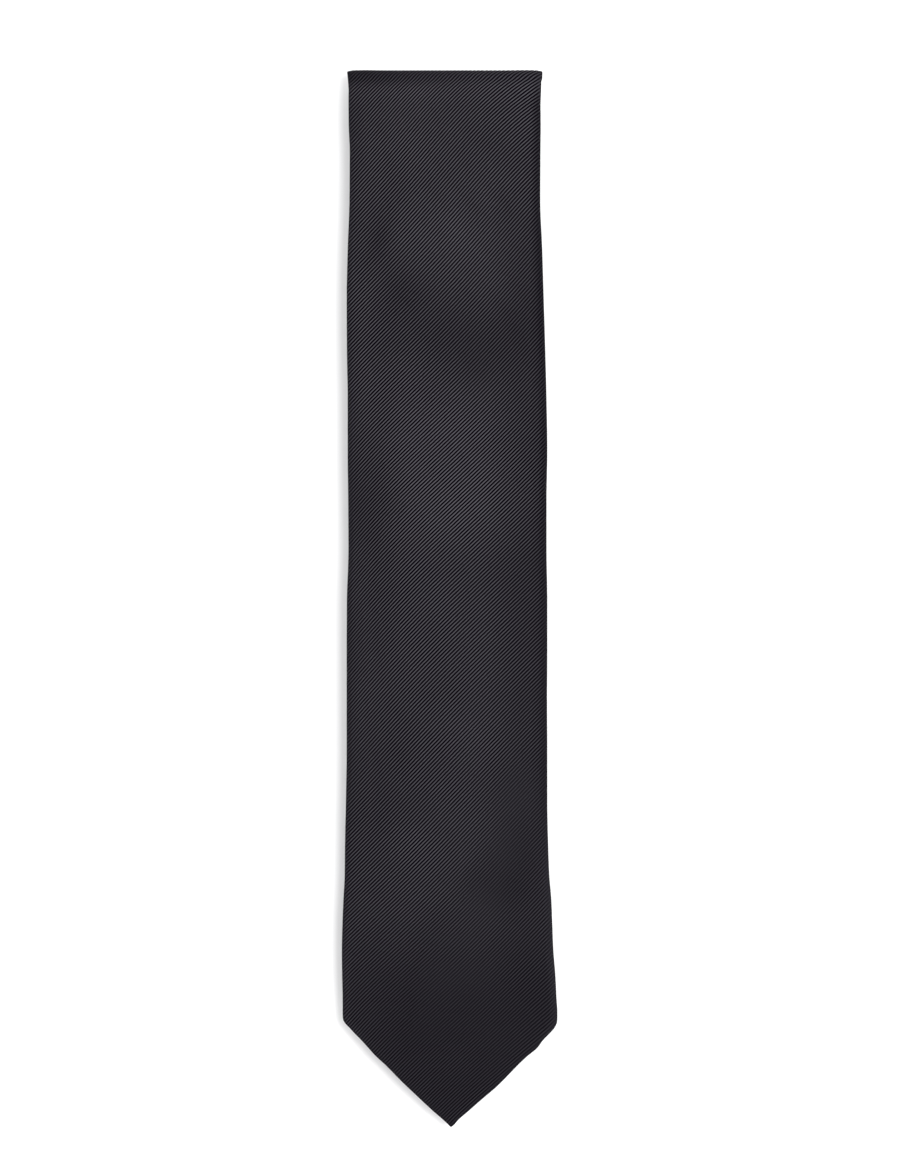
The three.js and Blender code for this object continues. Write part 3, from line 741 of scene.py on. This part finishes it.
def threads(name, paths, radius=0.12, sides=6):
    """Lengths of thread as one mesh of capped tubes. Each path is an array of mm points."""
    V, F, UV = [], [], []
    count = 0
    for p in paths:
        p = np.asarray(p, float)
        t = np.gradient(p, axis=0)
        t /= np.maximum(np.linalg.norm(t, axis=1)[:, None], 1e-9)
        ref = np.array([0, 0, 1.0]) if abs(t[:, 2]).mean() < 0.8 else np.array([1.0, 0, 0])
        u = np.cross(t, ref)
        u /= np.maximum(np.linalg.norm(u, axis=1)[:, None], 1e-9)
        w = np.cross(u, t)
        ang = np.arange(sides) * 2 * math.pi / sides
        taper = np.ones(len(p))
        taper[0] = taper[-1] = 0.55
        ring = p[:, None] + radius * taper[:, None, None] * (np.cos(ang)[None, :, None] * u[:, None] + np.sin(ang)[None, :, None] * w[:, None])
        n = len(p)
        length = np.r_[0, np.cumsum(np.linalg.norm(np.diff(p, axis=0), axis=1))]
        idx = count + np.arange(n * sides).reshape(n, sides)
        V.append(ring.reshape(-1, 3))
        UV.append(np.stack([np.tile(ang / (2 * math.pi), n), np.repeat(length, sides)], -1))
        nxt = np.roll(idx, -1, 1)
        F.append(np.stack([idx[:-1], nxt[:-1], nxt[1:], idx[1:]], -1).reshape(-1, 4))
        count += n * sides
        ends = np.stack([p[0] - t[0] * radius * 0.4, p[-1] + t[-1] * radius * 0.4])
        V.append(ends)
        UV.append(np.zeros((2, 2)))
        c0, c1 = count, count + 1
        count += 2
        F.append(np.stack([np.full(sides, c0), nxt[0], idx[0], np.full(sides, c0)], -1)[:, [0, 1, 2, 2]])
        F.append(np.stack([np.full(sides, c1), idx[-1], nxt[-1], np.full(sides, c1)], -1)[:, [0, 1, 2, 2]])
    V, UV = np.vstack(V), np.vstack(UV)
    F = np.vstack(F)
    quads = F[F[:, 2] != F[:, 3]]
    tris = F[F[:, 2] == F[:, 3]][:, :3]
    both = np.vstack([tris, quads[:, [0, 1, 2]], quads[:, [0, 2, 3]]])
    return new_mesh(name, V, both, uv=UV, weld=0.0)


# =============================================================================================
# Materials
# =============================================================================================
class Nodes:
    """A few words for building a node tree."""

    def __init__(self, name):
        self.mat = bpy.data.materials.new(name)
        self.mat.use_nodes = True
        self.nt = self.mat.node_tree
        self.bsdf = next(n for n in self.nt.nodes if n.type == "BSDF_PRINCIPLED")

    def node(self, kind, **props):
        n = self.nt.nodes.new(kind)
        for k, v in props.items():
            setattr(n, k, v)
        return n

    def link(self, a, b):
        self.nt.links.new(a, b)

    def math(self, op, a, b=None, c=None, clamp=False):
        n = self.node("ShaderNodeMath", operation=op, use_clamp=clamp)
        for i, v in enumerate((a, b, c)):
            if v is None:
                continue
            if isinstance(v, (int, float)):
                n.inputs[i].default_value = v
            else:
                self.link(v, n.inputs[i])
        return n.outputs[0]

    def uv(self):
        n = self.node("ShaderNodeUVMap", uv_map="Rib")
        sep = self.node("ShaderNodeSeparateXYZ")
        self.link(n.outputs[0], sep.inputs[0])
        return n.outputs[0], sep.outputs[0], sep.outputs[1]

    def object_coords(self):
        return self.node("ShaderNodeTexCoord").outputs["Object"]

    def noise(self, coords, scale, detail=2.0, rough=0.5):
        n = self.node("ShaderNodeTexNoise")
        n.inputs["Scale"].default_value = scale
        n.inputs["Detail"].default_value = detail
        n.inputs["Roughness"].default_value = rough
        self.link(coords, n.inputs["Vector"])
        return n.outputs["Fac"] if "Fac" in n.outputs else n.outputs[0]

    def scaled(self, coords, x, y, z):
        n = self.node("ShaderNodeMapping")
        n.inputs["Scale"].default_value = (x, y, z)
        self.link(coords, n.inputs["Vector"])
        return n.outputs[0]

    def ramp(self, fac, stops):
        n = self.node("ShaderNodeValToRGB")
        el = n.color_ramp.elements
        while len(el) > 1:
            el.remove(el[-1])
        el[0].position, el[0].color = stops[0][0], (*stops[0][1], 1)
        for p, c in stops[1:]:
            e = el.new(p)
            e.color = (*c, 1)
        self.link(fac, n.inputs[0])
        return n.outputs[0]

    def mix(self, fac, a, b):
        n = self.node("ShaderNodeMix", data_type="RGBA")
        for i, v in ((0, fac), (6, a), (7, b)):
            if isinstance(v, (int, float)):
                n.inputs[i].default_value = v
            elif isinstance(v, tuple):
                n.inputs[i].default_value = (*v, 1)
            else:
                self.link(v, n.inputs[i])
        return n.outputs[2]

    def scale_colour(self, colour, factor):
        n = self.node("ShaderNodeVectorMath", operation="SCALE")
        if isinstance(colour, tuple):
            n.inputs[0].default_value = colour
        else:
            self.link(colour, n.inputs[0])
        self.link(factor, n.inputs["Scale"])
        return n.outputs[0]

    def bump(self, height, distance, strength=1.0):
        n = self.node("ShaderNodeBump")
        n.inputs["Distance"].default_value = distance
        n.inputs["Strength"].default_value = strength
        self.link(height, n.inputs["Height"])
        self.link(n.outputs[0], self.bsdf.inputs["Normal"])

    def out(self, colour=None, roughness=None, **plain):
        b = self.bsdf
        if colour is not None:
            if isinstance(colour, tuple):
                b.inputs["Base Color"].default_value = (*colour, 1)
            else:
                self.link(colour, b.inputs["Base Color"])
        if roughness is not None:
            if isinstance(roughness, (int, float)):
                b.inputs["Roughness"].default_value = roughness
            else:
                self.link(roughness, b.inputs["Roughness"])
        for k, v in plain.items():
            b.inputs[k.replace("_", " ")].default_value = v
        return self.mat


def twill_material(name, crest, trough, contrast=1.0):
    """Ribbed twill: u of the Rib map counts ribs, v runs along them."""
    m = Nodes(name)
    uvw, u, v = m.uv()
    obj = m.object_coords()
    # uneven yarn: the rib line wanders a little
    wander = m.noise(m.scaled(uvw, 0.35, 0.9, 1), 1.0, 2.0)
    phase = m.math("ADD", u, m.math("MULTIPLY", m.math("SUBTRACT", wander, 0.5), 0.16))
    wave = m.math("MULTIPLY_ADD", m.math("COSINE", m.math("MULTIPLY", phase, 2 * math.pi)), 0.5, 0.5)
    rise = m.node("ShaderNodeMapRange", interpolation_type="SMOOTHSTEP")
    rise.inputs["From Min"].default_value, rise.inputs["From Max"].default_value = 0.34, 0.90
    m.link(wave, rise.inputs["Value"])
    ridge = rise.outputs[0]
    # weft floats: short steps along the rib, shifted from rib to rib
    rib_no = m.math("FLOOR", m.math("ADD", phase, 0.5))
    along = m.math("ADD", m.math("MULTIPLY", v, 1.9), m.math("MULTIPLY", rib_no, 0.31))
    float_ = m.math("MULTIPLY_ADD", m.math("COSINE", m.math("MULTIPLY", along, 2 * math.pi)), 0.5, 0.5)
    yarn = m.noise(m.scaled(uvw, 1.0, 0.35, 1), 3.1, 2.0, 0.6)
    patch = m.noise(obj, 22.0, 2.0, 0.5)
    fibre = m.noise(m.scaled(uvw, 7, 2.0, 1), 2.3, 3.0, 0.7)
    speckle = m.noise(m.scaled(uvw, 1.6, 2.2, 1), 1.7, 2.0, 0.7)
    # the map's second value is painted light and shade over the face; it scales how far the colour goes towards the
    # crest colour
    t = m.node("ShaderNodeUVMap", uv_map="RibShowPaintedLight")
    sep = m.node("ShaderNodeSeparateXYZ")
    m.link(t.outputs[0], sep.inputs[0])
    show, light = sep.outputs[0], sep.outputs[1]
    lift = m.math("MULTIPLY", ridge, m.math("MULTIPLY_ADD", float_, 0.24, 0.78))
    gain = m.math("MULTIPLY", m.math("MULTIPLY_ADD", yarn, 0.55, 0.72), m.math("MULTIPLY_ADD", patch, 0.30, 0.85))
    gain = m.math("MULTIPLY", gain, m.math("MULTIPLY_ADD", fibre, 0.5, 0.75))
    fac = m.math("MULTIPLY", lift, gain)
    fac = m.math("MULTIPLY_ADD", m.math("SUBTRACT", fac, 0.39), show, 0.39)
    fac = m.math("MULTIPLY", m.math("MAXIMUM", fac, 0.0), m.math("MULTIPLY_ADD", speckle, 1.6, 0.2))
    fac = m.math("MULTIPLY", fac, m.math("MULTIPLY", light, 0.6), clamp=True)
    # crests painted lighter and grooves darker: painted highlight and painted shade of the rib relief, beside the real
    # ribs of the mesh
    colour = m.mix(fac, trough, tuple(c / 0.6 for c in crest))
    height = m.math("ADD", m.math("MULTIPLY", ridge, 0.6), m.math("ADD", m.math("MULTIPLY", float_, 0.14), m.math("MULTIPLY", fibre, 0.18)))
    rough = m.math("MULTIPLY_ADD", fac, -0.2, 0.74)
    m.bump(m.math("MULTIPLY", height, show), 0.00006, 0.8)
    return m.out(colour, rough, Specular_IOR_Level=0.015)


def felt_material(name):
    m = Nodes(name)
    obj = m.object_coords()
    a, b = m.noise(obj, 240.0, 4.0, 0.7), m.noise(m.scaled(obj, 1, 0.25, 1), 1300.0, 3.0, 0.7)
    uvw, u, v = m.uv()
    grid = m.math("MULTIPLY", m.math("SINE", m.math("MULTIPLY", u, 2 * math.pi / 0.9)), m.math("SINE", m.math("MULTIPLY", v, 2 * math.pi / 0.9)))
    fac = m.math("ADD", m.math("MULTIPLY", a, 0.6), m.math("ADD", m.math("MULTIPLY", b, 0.4), m.math("MULTIPLY", grid, 0.06)))
    colour = m.ramp(fac, [(0.25, (0.40, 0.37, 0.30)), (0.55, (0.60, 0.57, 0.49)), (0.8, (0.74, 0.71, 0.63))])
    m.bump(fac, 0.0003, 0.8)
    return m.out(colour, 0.95, Specular_IOR_Level=0.15, Sheen_Weight=0.35, Sheen_Roughness=0.6)


def satin_material(name, dark, light, pitch=0.22, rough=0.38):
    m = Nodes(name)
    uvw, u, v = m.uv()
    obj = m.object_coords()
    warp_ = m.math("MULTIPLY_ADD", m.math("COSINE", m.math("MULTIPLY", u, 2 * math.pi / pitch)), 0.5, 0.5)
    weft = m.math("MULTIPLY_ADD", m.math("COSINE", m.math("MULTIPLY", m.math("ADD", v, m.math("MULTIPLY", u, 0.4)), 2 * math.pi / (pitch * 2.4))), 0.5, 0.5)
    slub = m.noise(m.scaled(uvw, 2.0, 0.06, 1), 1.4, 3.0, 0.6)
    cloud = m.noise(obj, 60.0, 2.0)
    fac = m.math("ADD", m.math("MULTIPLY", warp_, 0.3), m.math("ADD", m.math("MULTIPLY", weft, 0.18), m.math("MULTIPLY", slub, 0.55)), clamp=True)
    fac = m.math("MULTIPLY", fac, m.math("MULTIPLY_ADD", cloud, 0.5, 0.75), clamp=True)
    colour = m.mix(fac, dark, light)
    m.bump(m.math("ADD", m.math("MULTIPLY", warp_, 0.5), slub), 0.00003, 0.7)
    return m.out(colour, m.math("MULTIPLY_ADD", slub, 0.18, rough - 0.05), Specular_IOR_Level=0.2, Sheen_Weight=0.04, Sheen_Roughness=0.3)


def thread_material(name, dark, light):
    m = Nodes(name)
    uvw, u, v = m.uv()
    twist = m.math("MULTIPLY_ADD", m.math("COSINE", m.math("MULTIPLY", m.math("ADD", m.math("MULTIPLY", u, 2.0), m.math("MULTIPLY", v, 1.7)), 2 * math.pi)), 0.5, 0.5)
    fuzz = m.noise(m.object_coords(), 2500.0, 2.0, 0.6)
    fac = m.math("MULTIPLY", m.math("MULTIPLY_ADD", twist, 0.7, 0.2), m.math("MULTIPLY_ADD", fuzz, 0.8, 0.6), clamp=True)
    colour = m.mix(fac, dark, light)
    m.bump(m.math("ADD", twist, m.math("MULTIPLY", fuzz, 0.3)), 0.00004, 0.8)
    return m.out(colour, 0.6, Specular_IOR_Level=0.2, Sheen_Weight=0.05)


def label_material(name, dark, light, border):
    m = Nodes(name)
    uvw, u, v = m.uv()
    rib = m.math("MULTIPLY_ADD", m.math("COSINE", m.math("MULTIPLY", v, 2 * math.pi / 0.35)), 0.5, 0.5)
    warp_ = m.math("MULTIPLY_ADD", m.math("COSINE", m.math("MULTIPLY", u, 2 * math.pi / 0.28)), 0.5, 0.5)
    n = m.noise(m.scaled(uvw, 1, 0.4, 1), 2.0, 3.0, 0.6)
    fac = m.math("ADD", m.math("MULTIPLY", rib, 0.45), m.math("ADD", m.math("MULTIPLY", warp_, 0.2), m.math("MULTIPLY", n, 0.4)), clamp=True)
    colour = m.mix(fac, dark, light)
    m.bump(m.math("ADD", rib, m.math("MULTIPLY", warp_, 0.5)), 0.00004, 0.8)
    return m.out(colour, 0.5, Specular_IOR_Level=0.2, Sheen_Weight=0.04)


# crest colour painted lighter than the trough colour: painted highlight on the rib crests, painted shade in the grooves
TWILL = twill_material("ribbed_twill", (0.0408, 0.0392, 0.0455), (0.0012, 0.0006, 0.0019))
TWILL_BACK = TWILL
FELT = felt_material("interlining_felt")
TIPPING = satin_material("tipping_satin", (0.004, 0.0035, 0.005), (0.026, 0.024, 0.03))
THREAD = thread_material("dark_sewing_thread", (0.006, 0.005, 0.007), (0.06, 0.056, 0.066))
PALE = thread_material("undyed_thread", (0.30, 0.27, 0.21), (0.62, 0.58, 0.49))
LABEL = label_material("blank_woven_label", (0.006, 0.006, 0.009), (0.035, 0.033, 0.045), None)
CARE = label_material("blank_care_label", (0.52, 0.51, 0.48), (0.80, 0.79, 0.76), None)


def dress(obj, material, nodes):
    obj.data.materials.clear()
    obj.data.materials.append(material)
    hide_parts(*nodes)
    return obj


def bend_round(obj, a, b, fold):
    """Bakes obj's transform into its mesh; it does not bend obj. Body a (the upper layer), body b and fold are not
    used.
    """
    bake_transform(obj)


FOLD_1 = (FOLD_1_Y, LAYER_2 + R12, S1, S1E)
FOLD_2 = (FOLD_2_Y, LAYER_3 + R23, S2, S2E)
FOLD_3 = (FOLD_3_Y, LAYER_4 + R34, S3, S3E)

# =============================================================================================
# Shell
# =============================================================================================
blade, blade_area = shell_panel("blade_shell", 0.0, SEAM_A, False, True, 425.0, blade_phase)
dress(blade, TWILL, ["blade_shell_lower", "blade_shell_fold", "blade_shell_upper"])
bend_round(blade, "front_blade", "upper_blade", FOLD_1)

neck, neck_area = shell_panel("neck_shell", SEAM_A, SEAM_B, True, True, -1.0, plain_phase)
dress(neck, TWILL, ["neck_shell_upper", "neck_shell_fold", "neck_shell_lower"])
bend_round(neck, "upper_blade", "neck", FOLD_2)

tail, tail_area = shell_panel("tail_shell", SEAM_B, TIE_LENGTH, True, False, -1.0, plain_phase)
dress(tail, TWILL, ["tail_shell_upper", "tail_shell_fold", "tail_shell_lower"])
bend_round(tail, "neck", "tail", FOLD_3)

# =============================================================================================
# Interlining
# =============================================================================================
def lining_rows(a, b):
    rows = [np.arange(a, b, 4.0), [a, b]]
    for p, q in ((S1, S1E), (S2, S2E), (S3, S3E)):
        if p > a and q < b:
            rows.append(np.linspace(p - 0.5, q + 0.5, 17))
    out = np.unique(np.round(np.concatenate(rows), 3))
    return out[np.r_[True, np.diff(out) > 0.1]]


def lining_columns(s):
    l, r = edges(s)
    inset_ = np.where((s < 41) | (s > TIE_LENGTH - 24), 2.0, 1.45)
    l, r = l + inset_, r - inset_
    bad = r - l < 0.5
    l, r = np.where(bad, (l + r) / 2 - 0.25, l), np.where(bad, (l + r) / 2 + 0.25, r)
    t = np.linspace(0, 1, 15)[None]
    x = l[:, None] + (r - l)[:, None] * t
    soft = 1 - 0.35 * (np.abs(2 * t - 1) ** 8)
    wool = 0.04 * np.sin(x * 0.9 + s[:, None] * 0.31)
    return x, 0.2 + (0.38 + wool) * soft, 0.2 - 0.36 * soft + 0 * x


for name, a, b, nodes, bodies, fold in (
    ("blade_interlining", 3.5, JOIN_A - 0.3, ["blade_interlining_lower", "blade_interlining_fold", "blade_interlining_upper"], ("front_blade", "upper_blade"), FOLD_1),
    ("neck_interlining", JOIN_A + 0.3, JOIN_B - 0.3, ["neck_interlining_upper", "neck_interlining_fold", "neck_interlining_lower"], ("upper_blade", "neck"), FOLD_2),
    ("tail_interlining", JOIN_B + 0.3, TIE_LENGTH - 3.5, ["tail_interlining_upper", "tail_interlining_fold", "tail_interlining_lower"], ("neck", "tail"), FOLD_3),
):
    rows = lining_rows(a, b)
    o = slab(name, rows, lining_columns)
    dress(o, FELT, nodes)
    bend_round(o, *bodies, fold)
    width = float(np.max(edges(rows)[1] - edges(rows)[0])) - 2.8
    area = float(integral(edges(rows)[1] - edges(rows)[0] - 2.9, rows))

# =============================================================================================
# Tipping behind the points
# =============================================================================================
def tipping(name, node, body, rows, is_tail):
    def columns(s):
        l, r = edges(s)
        k = 1.5 * np.where((s < 41) | (s > TIE_LENGTH - 24), 1.42, 1)
        l, r = l + k, r - k
        bad = r - l < 0.6
        mid = (l + r) / 2
        l, r = np.where(bad, mid - 0.3, l), np.where(bad, mid + 0.3, r)
        t = np.linspace(0, 1, 49)[None]
        x = l[:, None] + (r - l)[:, None] * t
        wl, wr, _ = wing_ends(s)
        clear = np.minimum(x - wl[:, None], wr[:, None] - x)
        bulge = smooth(clear, 0.0, 5.0)
        pucker = 0.05 * np.sin(x * 0.55 + 1.3 * np.sin(s[:, None] * 0.11)) * np.exp(-np.abs(clear - 2.5) / 3.0) + 0.04 * np.sin(s[:, None] * 0.23 + x * 0.13)
        low = -0.46 - 0.28 * bulge + pucker * bulge
        return x, low + 0.08, low
    o = slab(name, rows, columns)
    dress(o, TIPPING, [node])
    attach(o, body)
    w = edges(rows)
    return o


tipping("blade_tipping_sheet", "blade_tipping", "front_blade", np.r_[np.arange(4.0, 44, 1.0), np.arange(44, 101, 1.5), 101.0], False)
tipping("tail_tipping_sheet", "tail_tipping", "tail", TIE_LENGTH - np.r_[60, np.arange(58.5, 4.0, -1.2), 4.0], True)

# =============================================================================================
# Trim on the back of the front blade and of the tail
# =============================================================================================
def band(name, s_mid, width, half, height, thick, columns_n=41, rows_n=9):
    """A strip of cloth across the back. height(x) is its middle's h."""
    rows = np.linspace(s_mid - width / 2, s_mid + width / 2, rows_n)

    def columns(s):
        t = np.linspace(-half, half, columns_n)[None]
        x = float(middle(np.array([s_mid]))[0]) + t + 0 * s[:, None]
        e = np.abs((s[:, None] - s_mid) / (width / 2))
        roll = thick * (1 - 0.65 * e**6)
        h = height(t) + 0.03 * np.sin(t * 0.4 + s[:, None] * 0.5)
        return x, h + roll / 2, h - roll / 2

    return slab(name, rows, columns)


def keeper_h(t):
    return -1.25 - 0.62 * smooth(np.abs(t), 27.5, 18.0) - 0.05 * np.cos(t / 9)


keeper = band("keeper_band", 230.0, 12.0, 31.0, keeper_h, 0.34)
# the band is cut across the rib, so its own rib runs the other way
uv = keeper.data.uv_layers["Rib"].data
k = np.zeros(len(uv) * 2, np.float32)
uv.foreach_get("uv", k)
k = k.reshape(-1, 2)
k = np.stack([RIB_PER_S * (k[:, 1] * 0.98 + k[:, 0]), RIB_PER_S * (k[:, 1] - k[:, 0])], -1)
uv.foreach_set("uv", k.astype(np.float32).ravel())
tone_layer = keeper.data.uv_layers.new(name="RibShowPaintedLight").data
tone_layer.foreach_set("uv", np.full(len(tone_layer) * 2, 0.9, np.float32))
dress(keeper, TWILL, ["keeper_loop"])
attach(keeper, "front_blade")

label = band("blank_label_cloth", 264.0, 28.0, 27.0, lambda t: -1.72 + 0 * t, 0.18, 29, 15)
dress(label, LABEL, ["blank_label"])
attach(label, "front_blade")


def back_path(x, s, h, n=7):
    """A straight thread on the back between two (x, s) points, lying on height h."""
    return place(np.linspace(x[0], x[1], n), np.linspace(s[0], s[1], n), h)


def bar_tack(name, node, body, x_mid, s_mid, length, height, along_x, h, turns=13):
    paths = []
    for i in range(turns):
        q = (i + 0.5) / turns - 0.5
        if along_x:
            x = x_mid + q * length
            paths.append(back_path((x - 0.08, x + 0.08), (s_mid - height / 2, s_mid + height / 2), h, 5))
        else:
            s = s_mid + q * length
            paths.append(back_path((x_mid - height / 2, x_mid + height / 2), (s - 0.08, s + 0.08), h, 5))
    for sg in (-0.25, 0.25):
        if along_x:
            paths.append(back_path((x_mid - length / 2, x_mid + length / 2), (s_mid + sg * height,) * 2, h + 0.12, 9))
        else:
            paths.append(back_path((x_mid + sg * height,) * 2, (s_mid - length / 2, s_mid + length / 2), h + 0.12, 9))
    o = threads(name, paths, 0.16)
    dress(o, THREAD, [node])
    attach(o, body)
    return o


mid230 = float(middle(np.array([230.0]))[0])
mid264 = float(middle(np.array([264.0]))[0])
bar_tack("tack_blade", "blade_bar_tack", "front_blade", float(middle(np.array([84.7]))[0]), 84.7, 9.0, 1.5, True, -1.62, 19)
bar_tack("tack_tail", "tail_bar_tack", "tail", 0.0, TIE_LENGTH - 48.5, 6.0, 1.1, True, -1.62, 13)
bar_tack("tack_keeper_left", "keeper_tack_left", "front_blade", mid230 - 29, 230.0, 11.0, 1.2, False, -1.56, 21)
bar_tack("tack_keeper_right", "keeper_tack_right", "front_blade", mid230 + 29, 230.0, 11.0, 1.2, False, -1.56, 21)

for side, x in (("left", -26.0), ("right", 26.0)):
    paths = []
    for i in range(13):
        s = 264 - 12.6 + i * 2.1
        paths.append(back_path((mid264 + x,) * 2, (s - 0.72, s + 0.72), -1.90, 5))
    o = threads(f"label_thread_{side}", paths, 0.13)
    dress(o, THREAD, [f"label_stitch_{side}"])
    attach(o, "front_blade")

CARE_S = TIE_LENGTH - 165.0
care = band("care_label_cloth", CARE_S, 28.0, 9.0, lambda t: -1.68 + 0 * t, 0.16, 13, 15)
dress(care, CARE, ["care_label"])
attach(care, "tail")
o = threads("care_label_thread", [back_path((x - 0.6, x + 0.6), (CARE_S - 12.7,) * 2, -1.86, 5) for x in np.linspace(-7.2, 7.2, 8)], 0.12)
dress(o, PALE, ["care_label_stitch"])
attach(o, "tail")

# Slip stitch down the back: short lengths that come up beside the flap's edge
for name, a, b, node, body in (
    ("slip_thread_blade", 94.0, S1 - 4, "slip_stitch_blade", "front_blade"),
    ("slip_thread_upper", S1E + 4, S2 - 4, "slip_stitch_upper", "upper_blade"),
    ("slip_thread_neck", S2E + 4, S3 - 4, "slip_stitch_neck", "neck"),
    ("slip_thread_tail", S3E + 4, TIE_LENGTH - TAIL_APEX - 9, "slip_stitch_tail", "tail"),
):
    paths = []
    for s in np.arange(a, b, 7.5):
        m0 = float(middle(np.array([s]))[0]) + 3.0
        jit = RNG.uniform(-0.15, 0.15)
        paths.append(place(np.array([m0 - 0.15, m0 + 0.12, m0 + 0.45, m0 + 0.62]), s + np.array([0, 0.5, 1.3, 2.0]) + jit, np.array([-1.2, -1.3, -1.2, -1.02])))
    o = threads(name, paths, 0.11, 5)
    dress(o, THREAD, [node])
    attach(o, body)

# Panel seams: the thread lies in the groove between two panels
for name, s_mid, node, body in (("seam_thread_blade", SEAM_A, "blade_neck_seam", "upper_blade"), ("seam_thread_neck", SEAM_B, "neck_tail_seam", "neck")):
    l, r = (float(v[0]) for v in edges(np.array([s_mid])))
    xs = np.linspace(l + 1.6, r - 1.6, 60)
    ss = s_mid + SEAM_SLOPE * np.clip(xs - (l + r) / 2, -18, 18)
    o = threads(name, [place(xs, ss, 0.83 + 0.04 * np.sin(xs * 3.1))], 0.12)
    dress(o, THREAD, [node])
    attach(o, body)

# Zigzag that joins the interlining strips
for name, s_mid, node, body in (("join_thread_blade", JOIN_A, "blade_interlining_join", "upper_blade"), ("join_thread_tail", JOIN_B, "tail_interlining_join", "neck")):
    l, r = (float(v[0]) for v in edges(np.array([s_mid])))
    xs = np.linspace(l + 3, r - 3, 41)
    ss = s_mid + np.where(np.arange(41) % 2 == 0, -1.2, 1.2)
    o = threads(name, [place(xs, ss, 0.72)], 0.12)
    dress(o, PALE, [node])
    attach(o, body)

# =============================================================================================
# Flat size and cut area of the three shell panels, worked out below
# =============================================================================================
def panel_flat(a, b, area):
    s = np.linspace(a, b, 400)
    l, r = edges(s)
    width = float(np.max(2 * (r - l))) + 18
    return (width * MM, (b - a) * MM), area * MM * MM


# =============================================================================================
# Floor, world and lights
# =============================================================================================
floor_mesh = bpy.data.meshes.new("floor")
F0 = 3.0
floor_mesh.from_pydata([(-F0, -F0, -0.0002), (F0, -F0, -0.0002), (F0, F0, -0.0002), (-F0, F0, -0.0002)], [], [(0, 1, 2, 3)])
floor = bpy.data.objects.new("floor", floor_mesh)
scene.collection.objects.link(floor)
fm = Nodes("pale_floor")
floor.data.materials.append(fm.out((0.86, 0.86, 0.865), 0.9, Specular_IOR_Level=0.1))

for obj, a, b, area in ((blade, 0, SEAM_A, blade_area), (neck, SEAM_A, SEAM_B, neck_area), (tail, SEAM_B, TIE_LENGTH, tail_area)):
    flat, cut = panel_flat(a, b, area)

world = bpy.data.worlds.new("studio")
scene.world = world
world.use_nodes = True
bg = world.node_tree.nodes["Background"]
bg.inputs[0].default_value = (1.0, 1.0, 1.0, 1)
bg.inputs[1].default_value = 1.37


def area_light(name, location, target, size, power, colour=(1, 1, 1)):
    d = bpy.data.lights.new(name, "AREA")
    d.shape = "DISK"
    d.size = size
    d.energy = power
    d.color = colour
    o = bpy.data.objects.new(name, d)
    scene.collection.objects.link(o)
    o.location = location
    o.rotation_euler = (Vector(target) - Vector(location)).to_track_quat("-Z", "Y").to_euler()
    return o


area_light("key", (0.70, 0.20, 1.87), (0, 0, 0), 1.0, 27.0)

scene.view_settings.view_transform = "Standard"
scene.view_settings.look = "None"
scene.view_settings.exposure = 0.0
scene.view_settings.gamma = 1.0
